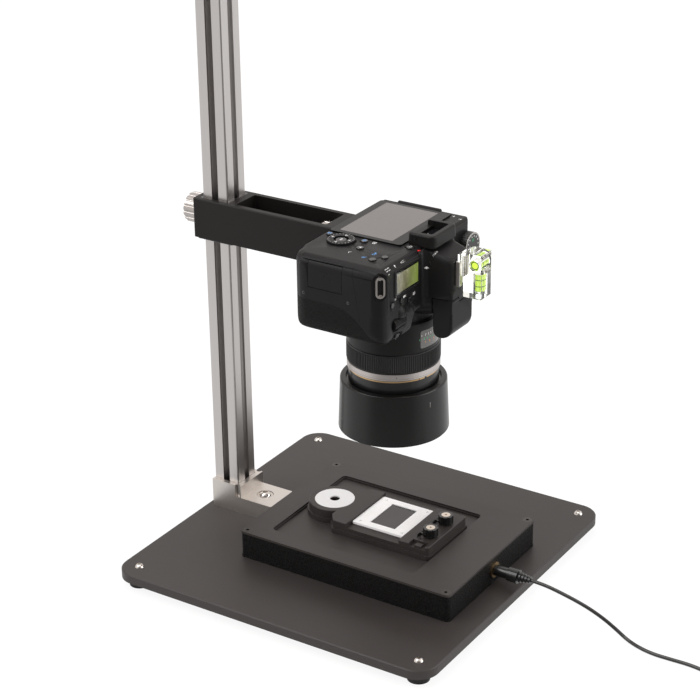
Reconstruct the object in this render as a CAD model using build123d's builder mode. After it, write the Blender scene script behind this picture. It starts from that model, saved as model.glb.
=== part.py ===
"""Slide duplicator: a copy stand, its camera, and a light box with a slide carrier.

Millimetres. +Z is up, the column stands at the back (+Y), and the front of the base is -Y.
The origin is under the centre of the base plate, on the surface that the feet stand on.
Levels are heights above the base plate's top. The camera hangs lens down, so its own
directions are: u across it towards the grip (-X), v up it (-Y), and depth from its back (-Z).
"""
from build123d import *
import math
import os

os.makedirs("parts", exist_ok=True)

# ----------------------------------------------------------------------------
# Clearances
# ----------------------------------------------------------------------------
running = 0.05            # radial gap of a shaft in its own hole
sliding = 0.1             # gap of a flat guide
free_gap = 0.3            # gap between pieces that pass each other
rest_gap = 0.2            # gap under a piece that is set down loosely

# ----------------------------------------------------------------------------
# Stand
# ----------------------------------------------------------------------------
plate_side = 300.0
plate_thickness = 8.0
plate_corner = 18.0
plate_edge = 0.8          # broken edge round the top
foot_radius = 9.0
foot_height = 8.0
foot_inset = 15.8         # screw centre in from the plate's edge
foot_screw_radius = 2.2
foot_head_radius = 3.8
foot_head_height = 2.2
foot_socket = 2.5
screw_floor_gap = 2.0     # screw ends stay this far over the table
socket_share = 0.7        # of a screw head's height, taken by its socket

column_side = 25.0        # T-slot profile
column_length = 600.0
column_y = 131.6
column_corner = 1.5
slot_mouth = 6.5
slot_lip = 1.9
slot_width = 11.6
slot_shoulder = 1.2
slot_floor = 5.6
slot_depth = 7.4
column_bolt_radius = 2.5
column_bolt_head_radius = 4.6
column_bolt_head_height = 3.4
column_bolt_bite = 14.0
column_bolt_socket = 4.0
cap_thickness = 3.0
cap_spigot = 8.0

bracket_wall = 4.0        # side walls of its socket
bracket_front_wall = 4.8
bracket_foot_height = 14.7
bracket_height = 25.8
bracket_foot_reach = 31.0   # foot in front of the socket
bracket_edge = 0.6
bracket_groove = 2.3      # vertical grooves at the socket's front corners
bracket_groove_setback = 3.7
bracket_bolt_radius = 3.0
bracket_bolt_reach = 17.0   # bolt centre from the front end of the foot
bracket_head_radius = 5.2
bracket_head_height = 3.0
bracket_socket = 4.0
bracket_recess_radius = 7.2
bracket_recess_depth = 1.2
washer_radius = 6.6
washer_thickness = 0.8

# ----------------------------------------------------------------------------
# Arm and knobs
# ----------------------------------------------------------------------------
arm_width = 36.2
arm_height = 33.8
arm_level = 250.2         # underside of the arm
arm_back = 150.8          # Y of its back end
arm_round = 1.8
pocket_width = 26.4
pocket_floor = 5.0
pocket_back = 110.4       # Y where the pocket starts
arm_front_wall = 9.0
bush_wall = 1.5
bush_flange = 2.0
bush_flange_width = 30.4
bush_flange_length = 35.4
knob_flutes = 16
knob_edge = 0.5
flute_radius = 1.3
clamp_knob_radius = 12.6
clamp_knob_thickness = 13.0
clamp_knob_gap = 1.5      # left for tightening
clamp_screw_radius = 3.0
camera_knob_radius = 12.0
camera_knob_thickness = 11.0
camera_screw_radius = 3.15   # quarter-inch thread
camera_screw_bite = 5.0

# ----------------------------------------------------------------------------
# Camera
# ----------------------------------------------------------------------------
lens_x = 0.0
lens_y = -30.4
back_level = 285.0        # camera back
cam_left = 58.5
cam_right = 80.0
cam_base = 44.4
cam_shoulder = 38.6
cam_depth = 47.0
grip_depth = 63.5
grip_inner = 40.0
grip_blend = 8.0
grip_round = 13.0
base_round = 15.0         # long corner under the grip
shoulder_round = 10.0     # long corner over the grip
back_round = 3.0
grip_back_round = 9.0     # edge between the back and the grip side
shoulder_back_round = 6.0
shoulder_front_round = 6.0
base_front_round = 11.0
far_corner_round = 12.0   # far corner, beside the mode dial
mount_radius = 36.0
mount_depth = 62.0        # lens flange behind the camera back
hump_foot_half = 18.5
hump_top_half = 16.5
hump_blend = 5.5          # hollow curve between the shoulder and the hump
hump_blend_half = 26.0
hump_round = 2.5
hump_top = 62.6
hump_foot_rear = 1.0
hump_rear = 9.0
hump_front = 40.0
join_lap = 1.0            # merged shapes reach this far into each other
brow_foot_half = 33.0
brow_half = 16.0
brow_top = 44.7
brow_foot_depth = 61.0
brow_depth = 57.0
socket_depth = 17.0       # tripod socket from the back

screen_left = 52.0
screen_right = 25.6
screen_low = 42.8
screen_high = 22.2
screen_thickness = 8.0
screen_proud = 1.0
screen_round = 3.0
screen_edge_gap = 0.5
screen_edge_bevel = 1.2
glass_left = 48.7
glass_right = 21.3
glass_low = 35.8
glass_high = 12.2
glass_thickness = 1.0
glass_round = 1.0
screen_axis_u = 56.0      # hinge axis, out from the lens axis
screen_axis_depth = 2.0
hinge_bar_radius = 3.7
hinge_bar_length = 38.0
hinge_bar_v = -9.8
hinge_pin_radius = 1.4
hinge_pin_length = 2.5
swivel_radius = 1.5
swivel_length = 6.0

eyecup_half = 18.5
eyecup_low = 22.9
eyecup_high = 47.6
eyecup_height = 9.5
eyecup_wall = 5.0
eyecup_dip = 4.0          # its lower wall is cut down by this much
eyepiece_height = 3.0
eyepiece_recess = 1.5
eyepiece_round = 2.0
eyepiece_glass_round = 1.0

door_low = 27.0
door_high = 3.2
door_depth = 24.4         # hinge edge, from the camera back
door_top_depth = 3.2
door_thickness = 2.0
door_pin_radius = 0.7
door_pin_length = 1.5

window_left = 27.0
window_right = 59.6
window_near = 7.0
window_far = 25.0
window_thickness = 1.2
bezel_margin = 2.4
bezel_height = 0.8

lug_depth = 12.8
lug_length = 17.0
lug_width = 7.4
lug_bar = 1.4
lug_thickness = 1.6
lug_well = 1.8            # depth of the hollow that it stands in
lug_room = 2.6            # hollow round it
far_lug_v = 26.0
far_lug_depth = 33.0

shoe_half = 10.8
shoe_near = 9.5
shoe_length = 20.0
shoe_wall = 1.4
shoe_base = 0.8
shoe_roof = 0.8
shoe_lip = 3.8
level_foot_length = 18.7
level_foot_start = 3.5    # depth of the foot's rear end
level_foot_thickness = 1.6
level_half = 8.0
level_low = 67.3
level_high = 83.1
level_near = 2.0          # depth of the block's rear end
level_far = 38.0
level_edge = 0.5
vial_wall = 1.2
vial_radius = 4.3
vial_a_v = 76.8
vial_a_depth = 11.2
vial_b_v = 78.2
vial_b_near = 18.5
vial_b_far = 33.0

flash_low = 45.2
flash_half = 16.5
flash_tip = 74.0
flash_axis_depth = 42.4
flash_axis_v = 60.4
flash_barrel = 2.1
flash_nose = 11.0
flash_edge = 1.2
knuckle_half = 5.0
flash_pin_radius = 0.8
flash_pin_bite = 3.0

dial_u = 46.5
dial_depth = 19.5
dial_radius = 11.2
dial_height = 6.4
dial_teeth = 36
dial_tooth_cut = 0.45
dial_pin_radius = 3.0
dial_pin_length = 4.0
wheel_u = 54.0
wheel_depth = 49.2
wheel_v = 35.4
wheel_radius = 5.0
wheel_width = 16.0
wheel_teeth = 24
wheel_tooth_cut = 0.4
wheel_pin_radius = 1.0
wheel_pin_length = 2.0
rear_dial_u = 38.2
rear_dial_v = -23.6
rear_dial_radius = 11.2
rear_dial_proud = 1.6
rear_dial_sunk = 1.2
rear_dial_hub = 6.0
rear_dial_edge = 0.5
button_sunk = 2.0
button_hole = 3.2
button_proud = 0.9
button_edge = 0.3
set_radius = 4.4
shutter_u = 57.0
shutter_v = 37.3
shutter_depth = 59.5
shutter_turn = 27.0       # degrees its face leans over the grip's front
shutter_radius = 3.2
shutter_dish_long = 7.2
shutter_dish_short = 5.0
shutter_dish_clear = 4.0
shroud_u = 50.5           # round swelling behind the control wheel
shroud_depth = 42.5
shroud_radius = 9.0
shroud_sunk = 6.6
# name: (u, v, radius) on the back, (u, depth, radius) on the shoulder
rear_buttons = {
    "delete_button": (31.3, -38.4, 2.6),
    "quick_button": (30.7, -7.0, 2.8),
    "play_button": (44.5, -2.4, 3.0),
    "zoom_out_button": (51.3, 24.1, 2.6),
    "zoom_in_button": (59.8, 18.3, 2.9),
    "live_button": (24.0, 30.2, 3.2),
}
top_buttons = {
    "focus_button": (65.0, 31.0, 2.3),
    "speed_button": (51.4, 31.6, 2.3),
    "meter_button": (40.0, 35.0, 2.3),
}

# ----------------------------------------------------------------------------
# Lens and hood
# ----------------------------------------------------------------------------
barrel_radius = 37.2
barrel_core = 35.0        # tube that carries the focusing ring
flange_edge = 1.0         # step and slope where the barrel meets the camera
flange_length = 2.0
flange_slope = 2.0
focus_radius = 38.0
focus_top = 194.3
focus_bottom = 178.3
focus_ribs = 60
rib_depth = 0.5
rib_margin = 1.2          # plain bands at both ends of the ribs
ring_bottom = 172.6
ring_radius = 37.6
ring_slope = 0.8
front_radius = 36.6
front_level = 153.0
bayonet_radius = 38.6
bayonet_height = 6.0
filter_radius = 26.0      # 52 mm filter thread
filter_depth = 4.0
glass_seat = 9.0
front_glass_radius = 18.0
front_glass_height = 4.0
front_glass_bulge = 1.5
front_glass_curve = 110.0
lens_window_half = 12.0
lens_window_low = 197.5
lens_window_high = 212.5
lens_window_turn = -95.0   # degrees about the lens axis, from +X
lens_window_thickness = 1.0
lens_window_round = 1.5
hood_top = 161.4
hood_bottom = 117.8
hood_top_radius = 43.2
hood_bottom_radius = 45.0
hood_wall = 1.8
hood_flange = 4.5
hood_round = 1.6

# ----------------------------------------------------------------------------
# Light box
# ----------------------------------------------------------------------------
box_x = -4.4
box_y = -27.1
box_width = 144.4
box_length = 200.4
box_height = 24.2
box_corner = 4.0
box_wall = 4.0
box_floor = 3.0
box_lip = 1.2             # plain band round the foot of the case
skin_inset = 0.4          # the covered sides stand back from the plates
panel_thickness = 2.0
panel_skirt = 3.0         # deeper part that holds the recess
panel_skirt_wall = 4.0
panel_screw_x = 135.4
panel_screw_y = 189.6
panel_head_radius = 4.0
panel_screw_radius = 2.1
panel_screw_length = 12.0
panel_socket = 2.5
post_radius = 4.0
recess_x = -5.4
recess_y = -17.4
recess_width = 111.2
recess_length = 137.4
recess_corner = 4.0
recess_step = 1.5
recess_ledge = 1.0
window_side = 50.0
diffuser_side = 60.0
diffuser_thickness = 2.5
led_board_width = 90.0
led_board_length = 110.0
led_board_thickness = 1.6
led_pitch = 20.0
led_size = 3.5
led_height = 1.0
standoff_radius = 3.5
standoff_height = 4.0
jack_x = -2.7
jack_level = 11.3
jack_ring_radius = 6.6
jack_ring_thickness = 1.4
jack_barrel_radius = 5.4
jack_body_radius = 5.0
jack_body_length = 9.0
jack_bore = 2.85
jack_bore_depth = 11.0

# ----------------------------------------------------------------------------
# Slide and carrier
# ----------------------------------------------------------------------------
slide_y = -30.0
slide_side = 50.0
slide_thickness = 1.8
slide_level = 30.8        # top of the slide
slide_side_gap = 0.4
slide_round = 1.5
film_width = 36.0
film_height = 24.0
film_lap = 1.0            # film held under the mount's rim
film_thickness = 0.2
carrier_top = 32.8
carrier_left = -34.0
carrier_right = 28.6
carrier_near = -83.2
carrier_far = 8.0
neck_far = 14.6
neck_left = -25.5
neck_right = 20.1
lobe_x = -2.0
lobe_y = 26.9
lobe_radius = 21.8
flange_rim = 1.4
flange_height = 4.0
carrier_round = 2.5
carrier_edge = 0.5
disc_radius = 16.8
disc_hole = 4.3
disc_depth = 1.2
gate_margin = 1.5
notch_reach = 7.5
notch_near = -80.0
notch_far = -65.0
notch_depth = 3.0
tab_length = 6.0
tab_reach = 5.2
tab_height = 1.8
knob_y = -75.0
knob_xs = (-16.0, 8.7)
knob_radius = 6.2
knob_top = 41.4
knob_gap = 1.4
knob_lobes = 8
knob_lobe_cut = 1.1
insert_radius = 3.7
insert_hole = 0.8
insert_hole_depth = 2.4
spindle_radius = 1.6
spindle_length = 7.0
finger_plate = 0.9
finger_reach = 9.6
finger_radius = 0.9
finger_rise = 1.4
groove_half = 1.3
groove_depth = 1.6
groove_half_angle = 65.0

# ----------------------------------------------------------------------------
# Lead
# ----------------------------------------------------------------------------
lead_radius = 1.5
plug_radius = 4.65
plug_barrel = 12.0
plug_grip_radius = 5.8
plug_grip = 9.0
relief_radius = 4.4
relief_end_radius = 2.6
relief_length = 11.0
relief_ribs = 4
plug_pin_radius = 2.7
plug_pin_length = 9.5
route_points = [          # from the plug, down over the plate's edge and across the table
    (-2.7, -171.5, 27.3), (-2.7, -190.0, 23.9), (-2.7, -204.0, 20.6), (-2.7, -215.0, 17.2),
    (-2.7, -226.5, 12.4), (-2.8, -236.5, 6.9), (-4.5, -247.5, 1.5), (-9.8, -260.0, 1.5),
    (-12.6, -273.5, 1.5), (-12.2, -289.0, 1.5), (-11.6, -303.0, 1.5), (-13.2, -316.0, 1.5),
    (-16.6, -329.5, 1.5), (-19.2, -343.0, 1.5), (-20.0, -355.5, 1.5),
]
coil_start_x = -20.0
coil_start_y = -369.0
coil_radius = 25.2        # of the outermost half turn
coil_gap = 0.6
coil_half_turns = 9       # in each of its two layers
coil_samples = 900
tail_length = 14.0
supply_neck_radius = 2.2
supply_neck = 8.0
supply_width = 14.0
supply_length = 26.0
supply_round = 2.0
supply_tongue_width = 12.0
supply_tongue_height = 4.5
supply_tongue = 14.0
supply_shell = 0.5        # sheet of the metal tongue
supply_mouth = 9.8

plate_top = foot_height + plate_thickness


def above_plate(level):
    """Height over the table of something measured from the plate's top."""
    return plate_top + level


def save(builder, node):
    """Label a finished piece and write it under its own name."""
    builder.part.label = node
    export_step(builder.part, f"parts/{node}.step")


def screw_outline(seat, head_radius, head_height, shank_radius, shank_length):
    """Half outline, about the Z axis, of a button-head screw that seats at one height."""
    with BuildSketch(Plane.XZ) as outline:
        with BuildLine():
            crown = (head_radius * 0.45, seat + head_height)
            rim = (head_radius, seat)
            Line((0, seat + head_height), crown)
            RadiusArc(crown, rim, head_radius)
            Polyline(rim, (shank_radius, seat), (shank_radius, seat - shank_length),
                     (0, seat - shank_length), (0, seat + head_height))
        make_face()
    return outline.sketch


def fluted_disc(radius, flutes, cut):
    """Round outline with evenly spaced round flutes."""
    with BuildSketch(Plane.XY) as outline:
        Circle(radius)
        with PolarLocations(radius + cut * 0.35, flutes):
            Circle(cut, mode=Mode.SUBTRACT)
    return outline.sketch


# ----------------------------------------------------------------------------
# Base plate, feet and screws
# ----------------------------------------------------------------------------
foot_pitch = plate_side - 2 * foot_inset
bracket_half = column_side / 2 + sliding + bracket_wall
socket_front = column_y - column_side / 2 - sliding - bracket_front_wall
bracket_front = socket_front - bracket_foot_reach
bracket_back = column_y + column_side / 2
bracket_bolt_y = bracket_front + bracket_bolt_reach
bracket_seat = above_plate(bracket_foot_height - bracket_recess_depth)

with BuildPart() as base_plate:
    with BuildSketch(Plane.XY.offset(foot_height)):
        RectangleRounded(plate_side, plate_side, plate_corner)
    extrude(amount=plate_thickness)
    chamfer(base_plate.faces().sort_by(Axis.Z)[-1].outer_wire().edges(), plate_edge)
    with BuildSketch(Plane.XY.offset(foot_height)):
        with GridLocations(foot_pitch, foot_pitch, 2, 2):
            Circle(foot_screw_radius)
        with Locations((0, column_y)):
            Circle(column_bolt_radius + running)
        with Locations((0, bracket_bolt_y)):
            Circle(bracket_bolt_radius)
    extrude(amount=plate_thickness, mode=Mode.SUBTRACT)
    with BuildSketch(Plane.XY.offset(foot_height)):
        with Locations((0, column_y)):
            Circle(column_bolt_head_radius + running)
    extrude(amount=column_bolt_head_height, mode=Mode.SUBTRACT)
save(base_plate, "base_plate")

with BuildPart() as rubber_feet:
    with BuildSketch(Plane.XY):
        with GridLocations(foot_pitch, foot_pitch, 2, 2):
            Circle(foot_radius)
    extrude(amount=foot_height, taper=-4)
    with BuildSketch(Plane.XY):
        with GridLocations(foot_pitch, foot_pitch, 2, 2):
            Circle(foot_screw_radius)
    extrude(amount=foot_height, mode=Mode.SUBTRACT)
save(rubber_feet, "rubber_feet")

with BuildPart() as foot_screw:
    add(screw_outline(plate_top, foot_head_radius, foot_head_height,
                      foot_screw_radius - running, plate_top - screw_floor_gap))
    revolve(axis=Axis.Z)
    with BuildSketch(Plane.XY.offset(plate_top + foot_head_height)):
        RegularPolygon(foot_socket / 2, 6, major_radius=False)
    extrude(amount=-foot_head_height * socket_share, mode=Mode.SUBTRACT)

with BuildPart() as bracket_bolt:
    add(screw_outline(bracket_seat + washer_thickness, bracket_head_radius,
                      bracket_head_height, bracket_bolt_radius - running,
                      bracket_seat + washer_thickness - foot_height - screw_floor_gap))
    revolve(axis=Axis.Z)
    with BuildSketch(Plane.XY.offset(bracket_seat + washer_thickness + bracket_head_height)):
        RegularPolygon(bracket_socket / 2, 6, major_radius=False)
    extrude(amount=-bracket_head_height * socket_share, mode=Mode.SUBTRACT)

with BuildPart() as bracket_washer:
    with BuildSketch(Plane.XY.offset(bracket_seat)):
        Circle(washer_radius)
        Circle(bracket_bolt_radius + running, mode=Mode.SUBTRACT)
    extrude(amount=washer_thickness)

with BuildPart() as column_bolt:
    with BuildSketch(Plane.XY.offset(foot_height)):
        Circle(column_bolt_head_radius)
    extrude(amount=column_bolt_head_height)
    with BuildSketch(Plane.XY.offset(foot_height + column_bolt_head_height)):
        Circle(column_bolt_radius)
    extrude(amount=plate_thickness - column_bolt_head_height + column_bolt_bite)
    with BuildSketch(Plane.XY.offset(foot_height)):
        RegularPolygon(column_bolt_socket / 2, 6, major_radius=False)
    extrude(amount=column_bolt_head_height * socket_share, mode=Mode.SUBTRACT)

with BuildPart() as stand_screws:
    with GridLocations(foot_pitch, foot_pitch, 2, 2):
        add(foot_screw.part)
    with Locations((0, bracket_bolt_y)):
        add(bracket_bolt.part)
        add(bracket_washer.part)
    with Locations((0, column_y)):
        add(column_bolt.part)
save(stand_screws, "stand_screws")

# ----------------------------------------------------------------------------
# Column, its cap and its bracket
# ----------------------------------------------------------------------------
half_side = column_side / 2
with BuildSketch() as t_slot:
    with BuildLine():
        left = [
            (-slot_mouth / 2, half_side + 1),
            (-slot_mouth / 2, half_side - slot_lip),
            (-slot_width / 2, half_side - slot_lip),
            (-slot_width / 2, half_side - slot_lip - slot_shoulder),
            (-slot_floor / 2, half_side - slot_depth),
        ]
        Polyline(left + [(-x, y) for x, y in reversed(left)], close=True)
    make_face()

with BuildSketch() as profile:
    RectangleRounded(column_side, column_side, column_corner)
    Circle(column_bolt_radius + running, mode=Mode.SUBTRACT)
    with PolarLocations(0, 4):
        add(t_slot.sketch, mode=Mode.SUBTRACT)

with BuildPart() as column:
    with BuildSketch(Plane.XY.offset(plate_top)):
        with Locations((0, column_y)):
            add(profile.sketch)
    extrude(amount=column_length)
save(column, "column")

with BuildPart() as column_cap:
    with BuildSketch(Plane.XY.offset(plate_top + column_length)):
        with Locations((0, column_y)):
            RectangleRounded(column_side, column_side, column_corner)
    extrude(amount=cap_thickness)
    fillet(column_cap.faces().sort_by(Axis.Z)[-1].edges(), cap_thickness * 0.3)
    with BuildSketch(Plane.XY.offset(plate_top + column_length)):
        with Locations((0, column_y)):
            Circle(column_bolt_radius)
    extrude(amount=-cap_spigot)
save(column_cap, "column_cap")

with BuildPart() as column_bracket:
    with BuildSketch(Plane.XY.offset(plate_top)):
        with Locations((0, (bracket_front + bracket_back) / 2)):
            Rectangle(2 * bracket_half, bracket_back - bracket_front)
    extrude(amount=bracket_foot_height)
    with BuildSketch(Plane.XY.offset(plate_top)):
        with Locations((0, (socket_front + bracket_back) / 2)):
            Rectangle(2 * bracket_half, bracket_back - socket_front)
    extrude(amount=bracket_height)
    chamfer(column_bracket.edges().filter_by(Axis.Z).group_by(Axis.Y)[0], bracket_edge)
    with BuildSketch(Plane.XY.offset(plate_top)):
        with Locations((0, column_y + half_side)):
            Rectangle(column_side + 2 * sliding, 2 * (column_side + sliding))
    extrude(amount=bracket_height, mode=Mode.SUBTRACT)
    with BuildSketch(Plane.XY.offset(above_plate(bracket_foot_height))):
        with Locations((-bracket_half, socket_front + bracket_groove_setback),
                       (bracket_half, socket_front + bracket_groove_setback)):
            Circle(bracket_groove)
    extrude(amount=bracket_height, mode=Mode.SUBTRACT)
    with BuildSketch(Plane.XY.offset(plate_top)):
        with Locations((0, bracket_bolt_y)):
            Circle(bracket_bolt_radius)
    extrude(amount=bracket_foot_height, mode=Mode.SUBTRACT)
    with BuildSketch(Plane.XY.offset(bracket_seat)):
        with Locations((0, bracket_bolt_y)):
            Circle(bracket_recess_radius)
    extrude(amount=bracket_recess_depth, mode=Mode.SUBTRACT)
save(column_bracket, "column_bracket")

# ----------------------------------------------------------------------------
# Arm, bush and the two clamp knobs
# ----------------------------------------------------------------------------
cam_base_y = lens_y + cam_base
arm_front = cam_base_y + free_gap
arm_bottom = above_plate(arm_level)
arm_axis = above_plate(back_level - socket_depth)     # both knobs turn about Y at this height
bush_inner = half_side + sliding
bush_outer = bush_inner + bush_wall
column_back = column_y + half_side

with BuildPart() as arm:
    with BuildSketch(Plane.XY.offset(arm_bottom)):
        with Locations((0, (arm_front + arm_back) / 2)):
            RectangleRounded(arm_width, arm_back - arm_front, arm_round)
    extrude(amount=arm_height)
    chamfer(arm.faces().sort_by(Axis.Z)[-1].outer_wire().edges(), plate_edge)
    with BuildSketch(Plane.XY.offset(arm_bottom + pocket_floor)):
        with Locations((0, (arm_front + arm_front_wall + pocket_back) / 2)):
            RectangleRounded(pocket_width, pocket_back - arm_front - arm_front_wall, arm_round)
    extrude(amount=arm_height, mode=Mode.SUBTRACT)
    with BuildSketch(Plane.XY.offset(arm_bottom)):
        with Locations((0, column_y)):
            Rectangle(2 * (bush_outer + running), 2 * (bush_outer + running))
    extrude(amount=arm_height, mode=Mode.SUBTRACT)
    with BuildSketch(Plane.XZ.offset(-arm_front)):
        with Locations((0, arm_axis)):
            Circle(camera_screw_radius + running)
    extrude(amount=-arm_front_wall, mode=Mode.SUBTRACT)
    with BuildSketch(Plane.XZ.offset(-arm_back)):
        with Locations((0, arm_axis)):
            Circle(clamp_screw_radius + running)
    extrude(amount=arm_back - column_y, mode=Mode.SUBTRACT)
save(arm, "arm")

with BuildPart() as arm_bush:
    with BuildSketch(Plane.XY.offset(arm_bottom)):
        with Locations((0, column_y)):
            Rectangle(2 * bush_outer, 2 * bush_outer)
    extrude(amount=arm_height)
    with BuildSketch(Plane.XY.offset(arm_bottom)):
        with Locations((0, column_y)):
            RectangleRounded(bush_flange_width, bush_flange_length, arm_round)
    extrude(amount=-bush_flange)
    with BuildSketch(Plane.XY.offset(arm_bottom - bush_flange)):
        with Locations((0, column_y)):
            Rectangle(2 * bush_inner, 2 * bush_inner)
    extrude(amount=arm_height + bush_flange, mode=Mode.SUBTRACT)
    with BuildSketch(Plane.XZ.offset(-arm_back)):
        with Locations((0, arm_axis)):
            Circle(clamp_screw_radius + running)
    extrude(amount=arm_back - column_y, mode=Mode.SUBTRACT)
save(arm_bush, "arm_bush")

with BuildPart() as clamp_knob:
    with BuildSketch(Plane.XZ.offset(-(arm_back + clamp_knob_gap))):
        with Locations((0, arm_axis)):
            add(fluted_disc(clamp_knob_radius, knob_flutes, flute_radius))
    extrude(amount=-clamp_knob_thickness)
    chamfer(clamp_knob.faces().sort_by(Axis.Y)[-1].outer_wire().edges(), knob_edge)
    with BuildSketch(Plane.XZ.offset(-(column_back + sliding))):
        with Locations((0, arm_axis)):
            Circle(clamp_screw_radius)
    extrude(amount=-(arm_back + clamp_knob_gap - column_back - sliding))
save(clamp_knob, "clamp_knob")

knob_front = arm_front + arm_front_wall + free_gap
with BuildPart() as camera_knob:
    with BuildSketch(Plane.XZ.offset(-knob_front)):
        with Locations((0, arm_axis)):
            add(fluted_disc(camera_knob_radius, knob_flutes, flute_radius))
    extrude(amount=-camera_knob_thickness)
    chamfer(camera_knob.faces().sort_by(Axis.Y)[-1].outer_wire().edges(), knob_edge)
    with BuildSketch(Plane.XZ.offset(-(cam_base_y - camera_screw_bite))):
        with Locations((0, arm_axis)):
            Circle(camera_screw_radius)
    extrude(amount=-(knob_front - cam_base_y + camera_screw_bite))
save(camera_knob, "camera_knob")

# ----------------------------------------------------------------------------
# Camera: planes of its own
# ----------------------------------------------------------------------------
back_height = above_plate(back_level)


def back_plane(proud):
    """Plane parallel to the camera back: local x is u, local y is v."""
    return Plane(origin=(lens_x, lens_y, back_height + proud), x_dir=(-1, 0, 0), z_dir=(0, 0, 1))


def top_plane(v):
    """Plane square to v: local x is u, local y is the depth from the back."""
    return Plane(origin=(lens_x, lens_y - v, back_height), x_dir=(-1, 0, 0), z_dir=(0, -1, 0))


def side_plane(u):
    """Plane square to u: local x is v, local y is the height over the back."""
    return Plane(origin=(lens_x - u, lens_y, back_height), x_dir=(0, -1, 0), z_dir=(-1, 0, 0))


screen_width = screen_left + screen_right
screen_height = screen_low + screen_high
screen_u = (screen_right - screen_left) / 2
screen_v = (screen_high - screen_low) / 2
screen_sunk = screen_thickness - screen_proud
pocket_depth = screen_sunk + free_gap
hinge_pocket = 2 * (hinge_bar_radius + free_gap)
corner_slant = math.sqrt(0.5)
lug_reach = (shoulder_round - lug_well) * corner_slant - shoulder_round
lug_seat = Plane(origin=back_plane(-lug_depth).from_local_coords(
    (cam_right + lug_reach, cam_shoulder + lug_reach, 0)),
    x_dir=(0, 0, 1), z_dir=(-1, -1, 0))
shutter_lean = math.radians(shutter_turn)
shutter_seat = Plane(origin=back_plane(-shutter_depth).from_local_coords(
    (shutter_u, shutter_v, 0)), x_dir=(-1, 0, 0),
    z_dir=(0, -math.cos(shutter_lean), -math.sin(shutter_lean)))
shroud_seat = Plane(origin=back_plane(-shroud_depth).from_local_coords(
    (shroud_u, cam_shoulder - shroud_sunk, 0)))
far_lug_seat = Plane(origin=back_plane(-far_lug_depth).from_local_coords(
    (-cam_left + lug_well, far_lug_v, 0)), x_dir=(0, 0, 1), z_dir=(1, 0, 0))


def grip_skin(thickness, top, bottom):
    """Section of the wall at the grip's back edge, between two depths."""
    with BuildSketch() as skin:
        with BuildLine():
            FilletPolyline((0, 0), (cam_right, 0), (cam_right, grip_depth), (0, grip_depth),
                           close=True, radius=[0, grip_back_round, 0, 0])
        make_face()
        with BuildLine():
            FilletPolyline((0, thickness), (cam_right - thickness, thickness),
                           (cam_right - thickness, grip_depth), (0, grip_depth),
                           close=True, radius=[0, grip_back_round - thickness, 0, 0])
        make_face(mode=Mode.SUBTRACT)
        with Locations((cam_right, (top + bottom) / 2)):
            Rectangle(2 * grip_back_round, bottom - top, mode=Mode.INTERSECT)
    return skin.sketch


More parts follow.
